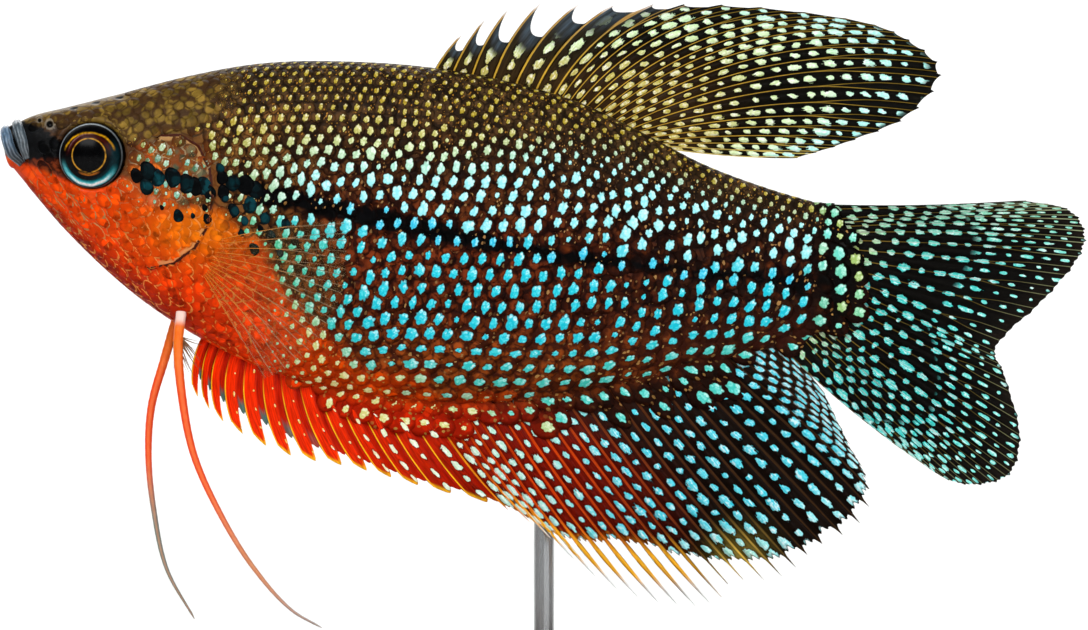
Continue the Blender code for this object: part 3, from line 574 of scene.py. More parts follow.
def markings(a, h, luck, blotch=0.0, teal_sheen=0.0):
    """Four colours with a value each, at places (a, h): ground and seed, edge and pearl height over width,
    rim line and its strength, pearl and its size. Blotch is 1 on the dark scales behind the eye, and teal is
    how much painted teal sheen they get."""
    back, belly, _ = body_levels(a)
    v = np.clip((back - h) / np.maximum(back - belly, 0.5), 0, 1)
    wander, fine_wander = ripple(a, h, 9.0), ripple(h, a, 2.7)

    # The back and the flank.
    ground = blended(
        "#4A3620",
        ("#472C16", smooth(0.06, 0.26, v)),
        ("#6E2C12", smooth(0.26, 0.55, v + 0.05 * wander)),
        ("#7A5024", 0.8 * smooth(14, 20, a) * smooth(36, 26, a) * smooth(0.08, 0.2, v)),
        ("#2E180D", smooth(48, 72, a) * smooth(0.02, 0.3, v)),
        ("#8A4014", smooth(0.66, 0.9, v) * smooth(74, 50, a)),
        ("#8A4018", 0.5 * smooth(0.2, 0.9, fine_wander) * smooth(0.25, 0.5, v)))
    edge = blended("#1D150D", ("#120706", smooth(0.1, 0.4, v)), ("#30120A", smooth(0.66, 0.9, v)))
    rim, rim_strength = edge, 0.5 + 0 * a
    pearl = blended(
        "#BFAE4C",
        ("#DADFAC", smooth(0.1, 0.28, v) * smooth(16, 40, a)),
        ("#B4ECF0", smooth(0.2, 0.38, v + 0.16 * smooth(40, 64, a)) * smooth(20, 34, a)),
        ("#42D4E2", smooth(0.4, 0.56, v + 0.05 * (luck[:, 4] - 0.5)) * smooth(20, 30, a)),
        ("#72DAD2", smooth(0.8, 0.95, v)),
        ("#A9D0B4", 0.7 * smooth(30, 22, a) * smooth(0.2, 0.4, v)),
        ("#6FD2AE", smooth(38, 26, a) * smooth(0.45, 0.6, v)))
    size = 0.44 + 0.15 * smooth(0.08, 0.28, v) - 0.02 * smooth(0.42, 0.52, v) + 0.13 * smooth(0.68, 0.84, v)
    shape = 1.45 - 0.7 * smooth(0.7, 0.86, v) * smooth(30, 40, a)

    # The red from the chin to the breast and along the belly.
    below = along_line(RED_LINE, a) - h
    soft = 0.3 + 0.05 * np.maximum(a - 8, 0)
    red = smooth(-soft, soft, below + soft * 0.5 * wander + (luck[:, 4] - 0.5) * soft * 0.8)
    warm = blended(
        "#E04202",
        ("#DE3602", smooth(0.5, 8.0, below + 1.2 * fine_wander)),
        ("#E05A10", 0.5 * smooth(0.1, 0.9, fine_wander) * smooth(12, 3, below)),
        ("#DE7008", np.exp(-((a - 20.5) / 5.5) ** 2 - ((h - 40.0) / 3.2) ** 2)),
        ("#CC4404", smooth(26, 34, a) * 0.8),
        ("#7E0C04", smooth(0.8, 1.0, v) * smooth(26, 14, a) * 0.85))
    ground = blended(ground, (warm, red))
    edge = blended(edge, (blended(warm, ("#7A1404", 0.4 + 0.25 * smooth(24, 34, a))), red))
    cheek_net = smooth(16, 12, a) * smooth(7.0, 3.0, below)
    rim = blended(rim, (blended("#DE8A40", ("#94804E", cheek_net)), red * smooth(32, 24, a)))
    rim_strength = rim_strength * (1 - red) + red * (0.15 + 0.6 * smooth(32, 24, a))
    pearl = blended(pearl, ("#E2E0A8", red * smooth(24, 32, a)))
    size = size * (1 - red * smooth(31, 24, a)) * (1 - 0.2 * red) * smooth(9, 13, a)

    # The top of the head: olive cells in a brown net, and plain brown skin along the very top of the snout.
    top = smooth(25, 20, a) * smooth(-0.4, 0.8, h - along_line(HEAD_TOP_LINE, a))
    ground = blended(ground, (blended("#7C6226", ("#68501F", smooth(0.2, 0.9, fine_wander))), top))
    edge = blended(edge, ("#3A2416", top))
    rim = blended(rim, ("#3A2A18", top))
    size = size * (1 - top)

    # The gill cover's upper half: pale teal marks on orange-brown.
    cover = np.exp(-(((a - 17.2) / 4.8) ** 2 + ((h - 45.4) / 3.4) ** 2) ** 2) * smooth(23.4, 22.0, a)
    browns = choice(luck[:, 0], ["#A8441A", "#7C5A2A", "#C4541A", "#6E4A22", "#D0661E", "#54604A"])
    ground = blended(ground, (browns, cover * 0.9))
    edge = blended(edge, ("#7A3A16", cover))
    rim = blended(rim, ("#C7B58A", cover))
    rim_strength = rim_strength * (1 - cover) + 0.55 * cover * (luck[:, 1] > 0.4)
    pearl = blended(pearl, (choice(luck[:, 3], ["#8FBFAE", "#7FA596", "#B7D2BE", "#6C8F78"]), cover))
    size = size * (1 - cover) + 0.58 * cover * (luck[:, 2] < 0.7)

    # The stripe behind the gill cover, the spot at the tail's root and the dark scales behind the eye.
    far = np.abs(h - along_line(STRIPE_LINE, a)) + 0.25 * fine_wander
    half = along_line(STRIPE_HALF, a) + 0.2 * wander
    stripe = smooth(half + 0.4, half - 0.2, far) * smooth(24.5, 26.0, a)
    spot = np.hypot(a - TAIL_SPOT[0], h - TAIL_SPOT[1]) + 0.3 * fine_wander
    stripe = np.maximum(stripe, smooth(TAIL_SPOT[2] + 0.8, TAIL_SPOT[2] - 0.6, spot))
    ground = blended(ground, ("#050506", stripe))
    edge = blended(edge, ("#030303", stripe))
    pearl = blended(pearl, ("#58D0E8", stripe * smooth(30, 38, a)))
    size = size * np.where((stripe > 0.85) & (luck[:, 3] < 0.22), 0.0, 1 - 0.1 * stripe)
    # The dark teal laid over some of the dark scales is a painted sheen.
    ground = blended(ground, (blended("#060809", ("#0C4048", teal_sheen)), blotch))
    edge = blended(edge, ("#040506", blotch))
    rim_strength = rim_strength * (1 - blotch)
    size = size * (1 - blotch)

    # The black patch from the mouth to the eye.
    patch_top = np.interp(a, [1.0, 2.2, 3.5, 5.0, 6.4], [51.2, 50.6, 50.4, 49.4, 48.6])
    patch_foot = np.interp(a, [0, 3, 6.4], [48.2, 46.9, 47.0])
    patch = smooth(0.25, -0.1, h - patch_top + 0.25 * ripple(a, h, 1.1)) * smooth(6.9, 6.3, a)
    patch = patch * smooth(-0.25, 0.1, h - patch_foot + 0.2 * ripple(h, a, 1.3))
    ground = blended(ground, ("#0A0B0D", patch))
    edge = blended(edge, ("#050505", patch))
    rim = blended(rim, ("#2A2C2E", patch))
    size = size * (1 - patch)

    # Near the tail's root the scales take on the fin's own black with yellow-green spots.
    tail_look = smooth(FIN_LOOK_FROM, FIN_LOOK_AT, a)
    ground = blended(ground, ("#0A0604", tail_look))
    edge = blended(edge, ("#060504", tail_look))
    pearl = blended(pearl, (blended("#8EE4D4", ("#C0D088", smooth(0.3, 0.9, luck[:, 4]))), tail_look * 0.9))
    size = size * (1 - tail_look) + 0.66 * tail_look * (stripe < 0.5)
    shape = shape * (1 - tail_look) + 1.15 * tail_look

    # The sheath on the anal fin's root goes over into the fin's own colours.
    sheath = smooth(0.97, 1.04, (back - h) / np.maximum(back - belly, 0.5)) * smooth(24, 34, a)
    web = blended("#B41802", ("#1A0C07", smooth(40, 62, a + 0.7 * (h - 20))))
    ground = blended(ground, (web, sheath * 0.9))
    edge = blended(edge, (web * 0.7, sheath * 0.9))
    return {"Ground": with_alpha(ground, luck[:, 0]), "Edge": with_alpha(edge, shape),
            "Rim": with_alpha(rim, rim_strength), "Pearl": with_alpha(pearl, np.clip(size, 0, 1))}


print("dark scales behind the eye:", len(BLOTCHES))

# %% [markdown]
# ## The materials of skin and scales
#
# A fish's skin is wet: matt pigment cells lie under a thin coat of clear slime, which gives the eye small
# sharp glints on a soft surface. A pearl is a patch of silvery cells, an upright oval with a lumpy edge and
# a thin dark outline. It could be painted; the material draws it from the scale's own coordinates, sharp at
# any size: the oval, gold flecks round it, and a ground of small pigment cells that darkens to the scale's
# margin.

# %% Scale material
LOBES_PER_PEARL = 1.4
PEARL_LEAN = 0.22
FINE_GRAIN, MOTTLE_GRAIN = 0.22, 0.55
PIGMENT_CELL, CELL_CONTRAST, MARGIN_CONTRAST = 0.95, 0.9, 0.8

scale_cover, add = new_material("wet_fish_scales")
place = add("Attribute", attribute_name="Scale", out="Vector")
along, across, out_share = add("SeparateXYZ", place, out=("X", "Y", "Z"))
ground, luck = add("Attribute", attribute_name="Ground", out=("Color", "Alpha"))
edge, shape = add("Attribute", attribute_name="Edge", out=("Color", "Alpha"))
rim, rim_strength = add("Attribute", attribute_name="Rim", out=("Color", "Alpha"))
pearl, size = add("Attribute", attribute_name="Pearl", out=("Color", "Alpha"))
where = add("TexCoord", out="Object")
fine = add("TexNoise", where, 1 / (FINE_GRAIN * MM), 2.0)
mottle = add("TexNoise", where, 1 / (MOTTLE_GRAIN * MM), 3.0)

# The pearl's own coordinates: pearl sizes from its middle, leaning a little back as it goes up.
leaning = add("Math.MULTIPLY_ADD", across, PEARL_LEAN, along)
tall = add("Math.DIVIDE", across, shape)
wide = add("Math.MAXIMUM", size, 0.02)
in_pearls = add("CombineXYZ", leaning, tall, 0.0)
in_pearls = add("VectorMath.DIVIDE", in_pearls, add("CombineXYZ", wide, wide, 1.0))

# Its lobes: small cells, of which only those whose middles lie near the pearl's middle are lit.
offset = add("VectorMath.MULTIPLY", add("CombineXYZ", luck, luck, 0.0), (57.0, 31.0, 0.0))
lattice = add("VectorMath.MULTIPLY_ADD", in_pearls, (LOBES_PER_PEARL,) * 3, offset)
from_lobe, lobe_luck, lobe_at = add("TexVoronoi", named={"Vector": lattice, "Scale": 1.0, "Randomness": 0.8},
                                    voronoi_dimensions="2D", out=("Distance", "Color", "Position"))
lobe_at = add("VectorMath.MULTIPLY", add("VectorMath.SUBTRACT", lobe_at, offset), (1 / LOBES_PER_PEARL,) * 3)
lobe_far = add("VectorMath.LENGTH", lobe_at)
from_middle = add("VectorMath.LENGTH", in_pearls)
torn = frayed(add, from_lobe, fine, 0.3)
whole_pearl = add("Math.MULTIPLY_ADD", torn, 0.5, from_middle)
there = add("MapRange", size, 0.06, 0.12)
lit = add("Math.MULTIPLY", add("MapRange", whole_pearl, 1.06, 0.96, **SOFT), there)
outline = add("Math.MULTIPLY", add("MapRange", whole_pearl, 1.45, 1.12), there)

# Single small cells further out are lit too: gold or pale flecks between the pearls.
fleck_luck = add("SeparateColor", lobe_luck)
fleck = add("Math.MULTIPLY", add("MapRange", torn, 0.5, 0.4), add("MapRange", fleck_luck, 0.93, 0.95))
fleck = add("Math.MULTIPLY", fleck, add("Math.MULTIPLY", there, add("MapRange", lobe_far, 1.3, 1.5)))

# The ground: small pigment cells, each lighter or darker, dark between them and towards the scale's margin.
cell_far, cell_luck = add("TexVoronoi", where, 1 / (PIGMENT_CELL * MM), out=("Distance", "Color"))
tone = add("Math.ADD", add("SeparateColor", cell_luck), 0.4)
tone = frayed(add, tone, mottle, 1.1)
lively = add("VectorMath.SCALE", ground, add("Math.MAXIMUM", tone, 0.3))
between = frayed(add, cell_far, mottle, 0.5)
between = add("Math.MULTIPLY", add("MapRange", between, 0.44, 0.64), CELL_CONTRAST)
whole = add("VectorMath.LENGTH", add("CombineXYZ", along, across, 0.0))
margin = frayed(add, whole, mottle, 1.6)
margin = add("Math.MULTIPLY", add("MapRange", margin, 0.6, 1.3, **SOFT), MARGIN_CONTRAST)
dark = add("Math.MAXIMUM", add("Math.MAXIMUM", between, margin), add("Math.MULTIPLY", outline, 0.75))
framed = add("Mix", dark, lively, edge, data_type="RGBA")
gold = add("Mix", 0.06, rgba("#A06A1E"), pearl, data_type="RGBA")
framed = add("Mix", fleck, framed, gold, data_type="RGBA")
broken = add("MapRange", mottle, 0.46, 0.54)
at_rim = add("MapRange", frayed(add, out_share, mottle, 0.7), 0.86, 0.94, **SOFT)
at_rim = add("Math.MULTIPLY", add("Math.MULTIPLY", at_rim, broken), rim_strength)
framed = add("Mix", at_rim, framed, rim, data_type="RGBA")

# Inside a pearl: paler with a painted highlight towards its upper rear, deeper with painted shade towards its
# lower front, and deeper between the lobes.
# A one-sided share across each pearl: painted highlight above and behind, painted shade below and in front.
pearl_painted_light = add("Math.MULTIPLY_ADD", add("Math.SUBTRACT", leaning, across), 0.45, 0.42)
pearl_painted_light = frayed(add, pearl_painted_light, fine, 1.6, use_clamp=True)
pale = add("Mix", 0.6, pearl, rgba("#FFFFFF"), data_type="RGBA")
deep = add("Gamma", pearl, 1.7)
inner = add("Mix", add("MapRange", pearl_painted_light, 0.1, 0.45), deep, pearl, data_type="RGBA")
inner = add("Mix", add("MapRange", pearl_painted_light, 0.5, 0.95), inner, pale, data_type="RGBA")
fringe = add("Mix", 0.3, deep, rgba("#7A6A18"), data_type="RGBA")
inner = add("Mix", add("MapRange", torn, 0.42, 0.62), inner, deep, data_type="RGBA")
inner = add("Mix", add("MapRange", whole_pearl, 0.84, 1.0), inner, fringe, data_type="RGBA")
look = add("Mix", lit, framed, inner, data_type="RGBA")
height = add("Math.MULTIPLY_ADD", lit, 0.5, fine)
add("OutputMaterial", add("BsdfPrincipled", named={
    "Base Color": look, "Roughness": add("Math.MULTIPLY_ADD", fine, 0.25, 0.3),
    **WET, "Specular IOR Level": 0.045, "Coat Weight": 0.02,
    "Normal": add("Bump", 1.0, 0.012 * MM, named={"Height": height})}))
print("scale material:", len(scale_cover.node_tree.nodes), "nodes")

# %% Skin material
# Pigment cells in a dark net; then a pale hem of painted highlight along the gill cover's edge with a dark
# gap of painted shade behind it, and dark pits of painted shade, the nostrils' with a grey rim. The slime is
# thicker here than on the scales, so bare skin shines a little more.
SKIN_CELL, SKIN_GRAIN = 1.1, 0.4

skin_cover, add = new_material("wet_bare_skin")
where = add("TexCoord", out="Object")
ground = add("Attribute", attribute_name="Ground", out="Color")
edge = add("Attribute", attribute_name="Edge", out="Color")
fine = add("TexNoise", where, 1 / (SKIN_GRAIN * MM), 3.0)
cells = add("TexVoronoi", where, 1 / (SKIN_CELL * MM), feature="DISTANCE_TO_EDGE")
net = add("MapRange", cells, 0.12, 0.03, 0.0, 0.6, **SOFT)
look = add("Mix", net, ground, edge, data_type="RGBA")
look = add("Mix", add("Math.MULTIPLY_ADD", fine, 0.6, -0.1, use_clamp=True), look, edge, data_type="RGBA")
lines = add("Attribute", attribute_name="Lines", out="Vector")
from_edge, from_pit, from_nostril = add("SeparateXYZ", lines, out=("X", "Y", "Z"))
from_edge = frayed(add, from_edge, fine, 0.25)
# The pale hem inside the gill cover's edge is a painted highlight; the dark gap along the edge is painted
# shade.
painted_hem_highlight = add("Math.MULTIPLY", add("MapRange", from_edge, -0.62, -0.4), add("MapRange", from_edge, -0.1, -0.16))
gap = add("MapRange", add("Math.ABSOLUTE", from_edge), 0.17, 0.1)
ragged = frayed(add, from_nostril, fine, 2.2)
pit_rim = add("Math.MULTIPLY", add("MapRange", ragged, 2.0, 1.3), 0.5)
look = add("Mix", add("Math.MULTIPLY", painted_hem_highlight, 0.6), look, rgba("#C0925A"), data_type="RGBA")
look = add("Mix", gap, look, rgba("#42190C"), data_type="RGBA")
look = add("Mix", pit_rim, look, rgba("#8F887C"), data_type="RGBA")
# The near-black in the nostrils and slits is painted shade in the pits.
look = add("Mix", add("MapRange", from_pit, 1.15, 0.9), look, rgba("#0A0806"), data_type="RGBA")
add("OutputMaterial", add("BsdfPrincipled", named={
    **WET, "Base Color": look, "Roughness": 0.36, "Specular IOR Level": 0.15, "Coat Weight": 0.06,
    "Normal": add("Bump", 1.0, 0.05 * MM, named={"Height": fine})}))
print("skin material:", len(skin_cover.node_tree.nodes), "nodes")

# %% [markdown]
# ## One skin
#
# The solids have a seam wherever the body is divided. The skin has none: it is a closed tube of rings from
# the snout to the tail's root, with far more rings in the head, where the relief needs them.

# %% Skin
HEAD_RINGS, BODY_RINGS, SKIN_COLUMNS = 200, 62, 172
HEAD_END = 24.0


def skin():
    """Rings round the body at chosen stations, moved along the normals by the relief, and two poles."""
    head_share = BODY.share_of(HEAD_END)
    t = np.concatenate([np.linspace(1 - END_SHARE, head_share, HEAD_RINGS, endpoint=False),
                        np.linspace(head_share, END_SHARE, BODY_RINGS)])
    q = np.linspace(0, 1, SKIN_COLUMNS)
    rings = []
    for side in SIDES.values():
        grid_a, grid_q = np.meshgrid(BODY.station_of(t), q, indexing="ij")
        point, normal = BODY.on_side(side, grid_a, grid_q)
        point = point + normal * (relief(point[..., 0], point[..., 2]) * smooth(0, 0.03, grid_q))[..., None]
        rings.append(point)
    round_body = np.concatenate([rings[0], rings[1][:, -2:0:-1]], axis=1)
    points = np.vstack([round_body.reshape(-1, 3), round_body[0].mean(axis=0), round_body[-1].mean(axis=0)])
    look = markings(points[:, 0], points[:, 2], np.full((len(points), 6), 0.5))
    made = piece("skin", points, tube_faces(len(t), round_body.shape[1]), skin_cover,
                 {"Ground": look["Ground"], "Edge": look["Edge"],
                  "Lines": head_lines(points[:, 0], points[:, 2])})
    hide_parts("head", "lower_jaw", "gill_cover_left", "gill_cover_right", "trunk", "tail_stalk")


skin()

# %% [markdown]
# ## Where the scales grow
#
# Scales stand in rows, each row shifted by half a scale against the next. Near the back they are small and
# on the flank larger, and no regular lattice can do both. Here rows are laid down one under another with
# the spacing that each place asks for, and then neighbours push each other apart a little, as growing
# scales do. What is left over are the small faults in the rows that a real fish shows too.

# %% Scale centres
SMALL_SCALE, LARGE_SCALE = 1.15, 1.84
ROW_STEP = 0.84
SCALES_FROM, SCALES_TO = 3.0, 87.0
SHEATH_FROM, SHEATH_TO, SHEATH_DEPTH = 27.0, 78.0, 3.0
ROWS_MEET, ROWS_RISE = 0.28, 0.1
PUSHES, PUSH_SHARE = 30, 0.33


def scale_spacing(a, v):
    """Distance between neighbouring scales: small on the head and the back, larger down the flank."""
    flank = smooth(0.13, 0.5, v) * smooth(20, 36, a + 12 * (0.5 - v)) * (1 + 0.25 * smooth(0.7, 0.95, v))
    return SMALL_SCALE + (LARGE_SCALE - SMALL_SCALE) * flank


def anal_wave(a, h):
    """The middle plane with a slow sideways wave that grows towards the margin."""
    depth = np.clip((23 - h) / 20, 0, 1)
    wave = 0.7 * depth * np.sin(2 * math.pi * (a - FISH_LENGTH / 2) / 46)
    return wave, np.broadcast_to((0.0, 1.0, 0.0), (*a.shape, 3))


def coat_length(a):
    """Length down one side of the coat, which goes on past the belly as a sheath on the anal fin's root."""
    sheath = SHEATH_DEPTH * smooth(SHEATH_FROM, SHEATH_FROM + 8, a) * smooth(SHEATH_TO + 2, SHEATH_TO - 6, a)
    return COAT.girth_at(a) - 0.3 + sheath


def laid_row(a, g, girth, row):
    """Places along a row at lengths g(a): one wherever the sum of da / spacing passes a whole number."""
    spacing = scale_spacing(a, np.clip(g / girth, 0, 1))
    count = np.concatenate([[0], np.cumsum(np.diff(a) / spacing[1:])])
    at = np.arange(0.25 + 0.5 * (row % 2), count[-1])
    return np.column_stack([np.interp(at, count, a), np.interp(at, count, g)]), spacing


def scale_rows():
    """Rows that follow the back, laid downwards, and rows that follow the belly, laid up to meet them."""
    a = np.linspace(SCALES_FROM, SCALES_TO, 600)
    girth, most = COAT.girth_at(a), coat_length(a)
    found, row, g = [], 0, np.full_like(a, 0.3)
    while (g < ROWS_MEET * girth).any():
        there, spacing = laid_row(a, g, girth, row)
        found.append(there[there[:, 1] < ROWS_MEET * COAT.girth_at(there[:, 0])])
        g, row = g + ROW_STEP * spacing, row + 1
    g = most + ROWS_RISE * (a - SCALES_FROM)
    while (g > ROWS_MEET * girth).any():
        there, spacing = laid_row(a, g, girth, row)
        inner = there[:, 1] > ROWS_MEET * COAT.girth_at(there[:, 0]) + 0.5 * ROW_STEP * SMALL_SCALE
        found.append(there[inner & (there[:, 1] < coat_length(there[:, 0]))])
        g, row = g - ROW_STEP * spacing, row + 1
    return np.vstack(found)


def pushed_apart(places):
    """Neighbours closer than their spacing move apart by a share of what is missing, again and again."""
    for _ in range(PUSHES):
        spacing = scale_spacing(places[:, 0], np.clip(places[:, 1] / COAT.girth_at(places[:, 0]), 0, 1))
        apart = places[:, None] - places[None]
        distance = np.linalg.norm(apart, axis=2) + np.eye(len(places)) * 99
        wanted = (spacing[:, None] + spacing[None]) / 2
        push = np.clip(wanted - distance, 0, None) / distance * PUSH_SHARE
        places = places + np.clip((apart * push[..., None]).sum(axis=1), -0.2, 0.2)
        places[:, 0] = np.clip(places[:, 0], SCALES_FROM, SCALES_TO)
        places[:, 1] = np.clip(places[:, 1], 0.25, coat_length(places[:, 0]))
    return places


def on_coat(side, a, g):
    """Point and normal of the coat at lengths g down from the back; past the belly it goes on down the fin.

    The keel fills out to the fin's thickness there; elsewhere lengths beyond it fold to the other side.
    """
    girth = COAT.girth_at(a)
    sheath = smooth(SHEATH_FROM - 2, SHEATH_FROM + 3, a) * smooth(SHEATH_TO + 5, SHEATH_TO + 1, a)
    over = np.maximum(g - girth, 0) * sheath
    point, normal = COAT.on_side(side, a, (g - over) / girth)
    on = (smooth(-3.0, 1.0, g - girth) * sheath)[..., None]
    wave, _ = anal_wave(point[..., 0], point[..., 2] - over)
    fin_face = side * (0.16 + 0.3 * np.exp(-over / 0.9)) + wave
    y = np.where(side * point[..., 1] < side * fin_face, fin_face, point[..., 1])
    point = np.stack([point[..., 0], point[..., 1] + (y - point[..., 1]) * on[..., 0], point[..., 2] - over],
                     axis=-1)
    out = np.zeros_like(point)
    out[..., 1] = side
    normal = normal * (1 - on) + out * on
    return point, normal / np.linalg.norm(normal, axis=-1, keepdims=True)


def length_down_to(a, h):
    """Length down from the back at which the coat at each station a reaches the height h."""
    down = np.linspace(0, 1, SHEET_COLUMNS)
    found = [np.interp(-up, -COAT.on_side(1, np.full(SHEET_COLUMNS, at), down)[0][:, 2], down)
             for at, up in zip(a, h)]
    return np.array(found) * COAT.girth_at(a)


SCALES = pushed_apart(scale_rows())
DARK_SCALES = np.column_stack([BLOTCHES[:, 0], length_down_to(BLOTCHES[:, 0], BLOTCHES[:, 1])])
to_dark = np.linalg.norm(SCALES[:, None] - DARK_SCALES[None], axis=2)
SCALES = SCALES[(to_dark > np.where(BLOTCHES[:, 2] > 0.5, 0.55, 0.0)).all(axis=1)]
heights = on_coat(1.0, SCALES[:, 0], SCALES[:, 1])[0][:, 2]
ragged = chance.random(len(SCALES))
tail_end = np.hypot((SCALES[:, 0] - TAIL_ARC_CENTRE) / 7.2, (heights - TAIL_ROOT[1]) / 8.8) + 0.2 * ragged
on_sheath = SCALES[:, 1] - coat_length(SCALES[:, 0]) + 1.6 * ragged
SCALES = SCALES[((SCALES[:, 0] < TAIL_ARC_CENTRE) | (tail_end < 1.1))
                & ((on_sheath < 0.6) | (SCALES[:, 0] < SHEATH_FROM))]
print("scales laid on one side:", len(SCALES), "and", len(DARK_SCALES), "dark ones")

# %% Scale plates
RIM_POINTS = 14
REACH_BACK, REACH_FRONT, HALF_HEIGHT = 0.82, 0.58, 0.66
TILT, DOME, ROOT_DEPTH = 0.05, 0.04, 0.12
PEARL_MIDDLE = 0.28
CLEAR_OF_EYE, CLEAR_OF_EDGE, CLEAR_OF_MOUTH = 0.5, 0.5, 0.75
BARE_FOREHEAD = 0.8
BAKE_WIDTH, BAKE_HEIGHT, BAKE_PATCH = 92.0, 46.0, 0.003


def scale_outline():
    """Local places (u back, w down) in scale spacings: the middle, a ring, a rim and its underside."""
    angle = np.linspace(0, 2 * math.pi, RIM_POINTS, endpoint=False)
    u = np.where(np.cos(angle) > 0, REACH_BACK, REACH_FRONT) * np.cos(angle)
    w = HALF_HEIGHT * np.sin(angle) * (1 - 0.12 * np.cos(angle))
    share = np.concatenate([[0], np.full(RIM_POINTS, 0.62), np.ones(RIM_POINTS), np.full(RIM_POINTS, 0.96)])
    pick = np.concatenate([[0], np.tile(np.arange(RIM_POINTS), 3)])
    return share * u[pick], share * w[pick], share


def plate_faces():
    """Triangles round the middle, quads to the rim and down to the underside, and one closing face."""
    i = np.arange(RIM_POINTS)
    after = (i + 1) % RIM_POINTS
    middle, rim, under = 1, 1 + RIM_POINTS, 1 + 2 * RIM_POINTS
    fan = np.stack([np.zeros_like(i), middle + i, middle + after], axis=1)
    top = np.stack([middle + i, rim + i, rim + after, middle + after], axis=1)
    wall = np.stack([rim + i, under + i, under + after, rim + after], axis=1)
    return [fan, np.vstack([top, wall]), under + i[None, ::-1]]


def bare_places(a, h):
    """Where no scale grows: round the eye, on lips and forehead, at the pits and at the gill's edge."""
    bare = np.hypot(a - EYE_AT[0], h - EYE_AT[1]) < EYE_RADIUS + CLEAR_OF_EYE
    bare |= distance_to(GILL_EDGE, a, h) < CLEAR_OF_EDGE
    bare |= (distance_to(MOUTH_LINE, a, h) < CLEAR_OF_MOUTH) | (a < np.interp(h, [44, 51], [1.6, 3.0]))
    bare |= (body_levels(a)[0] - h < BARE_FOREHEAD) & (a < 13)
    for at, up, radius in NOSTRILS:
        bare |= np.hypot(a - at, h - up) < radius + 0.45
    for at, up in FOREHEAD_SLITS:
        bare |= np.hypot((a - at) / 1.4, h - up) < 0.65
    return bare


def scale_coat(name, side):
    """All scales of one side: each outline is laid on the body and lifted like a roof tile.

    Ground, edge and rim colours are read at every point, so that markings run across scales; a pearl's
    colour, size and shape are read once for each scale.
    """
    a, g = np.vstack([SCALES, DARK_SCALES]).T
    dark = np.arange(len(a)) >= len(SCALES)
    radius = np.concatenate([np.zeros(len(SCALES)), BLOTCHES[:, 2]])
    teal_sheen = np.concatenate([np.zeros(len(SCALES)), BLOTCHES[:, 3]])
    root, _ = on_coat(side, a, g)
    keep = ~bare_places(a, root[:, 2]) | dark
    a, g, root, dark, radius, teal_sheen = (values[keep] for values in (a, g, root, dark, radius, teal_sheen))
    girth = COAT.girth_at(a)
    u, w, share = scale_outline()
    count, per = len(a), len(u)
    luck = chance.random((count, 6))
    spacing = scale_spacing(a, np.clip(g / girth, 0, 1)) * (0.9 + 0.2 * chance.random(count))
    size = np.where(dark, 1.22 * radius / HALF_HEIGHT, spacing)[:, None]
    lean = chance.normal(0, 0.09, count)[:, None]
    squeeze = np.where(dark, 0.78, 1.0)[:, None]
    along = (u * squeeze * np.cos(lean) - w * np.sin(lean)) * size
    down = (u * squeeze * np.sin(lean) + w * np.cos(lean)) * size
    plate_a = np.clip(a[:, None] + along, SNOUT[0] + 0.15, COAT_ENDS)
    fold = np.where(g[:, None] < girth[:, None] - 0.6, COAT.girth_at(plate_a) / girth[:, None], 1.0)
    point, normal = on_coat(side, plate_a, np.abs(g[:, None] + down) * fold)
    flat = np.maximum(smooth(26, 14, a), smooth(FIN_LOOK_FROM, FIN_LOOK_AT, a))
    flat = np.maximum(flat, 1.5 * smooth(girth - 3, girth, g) * smooth(24, 30, a))[:, None]
    lift = (TILT * (u / REACH_BACK) + DOME * (1 - share**2)) * (1 - 0.6 * flat) * size / 1.5 + 0.03
    lift = lift + np.where(dark[:, None], 0.05 * (1 - 0.6 * share**2), 0)
    lift = np.where(np.arange(per) > 2 * RIM_POINTS, -ROOT_DEPTH, lift)
    point = point + normal * (lift + relief(point[..., 0], point[..., 2]))[..., None]

    each = np.repeat(np.arange(count), per)
    flat_point = point.reshape(-1, 3)
    look = markings(flat_point[:, 0], flat_point[:, 2], luck[each], dark[each].astype(float), teal_sheen[each])
    own = markings(root[:, 0], root[:, 2], luck, dark.astype(float), teal_sheen)
    vary = np.where(luck[:, 5] < 0.1, 0.55, 0.78 + 0.4 * luck[:, 1])
    look["Pearl"] = (own["Pearl"] * np.column_stack([np.ones((count, 3)), vary]))[each]
    look["Edge"][:, 3] = (own["Edge"][:, 3] * (0.85 + 0.3 * luck[:, 2]))[each]
    look["Scale"] = np.tile(np.column_stack([2 * (u - PEARL_MIDDLE), 2 * w, share]), (count, 1))
    bake = np.column_stack([a / BAKE_WIDTH, g / BAKE_HEIGHT])[each]
    bake = bake + np.tile(np.column_stack([u, w]), (count, 1)) * BAKE_PATCH / 2
    faces = [(np.arange(count)[:, None, None] * per + group[None]).reshape(-1, group.shape[1])
             for group in plate_faces()]
    return piece(name, flat_point, faces, scale_cover, look, bake)


scale_coat("scales_left", SIDES["left"])
scale_coat("scales_right", SIDES["right"])

# %% [markdown]
# ## Fins
#
# A fin is a fan of bony rays with skin stretched between them. The front rays of the dorsal and anal fins
# are spines with free points, the rest are soft and split towards the margin. Each ray is a curve from a
# root in the body to a tip, bowed to one side, and a few rows of numbers give the whole fan, read smoothly
# in between. The sheet is a grid: one parameter runs across the rays and the other from root to margin. It
# thickens to a ridge at each ray and lies in shallow pleats. There are more rays than in the solids, where
# so fine ones would be too thin to stand. Single tubes for the rays would leave seams.

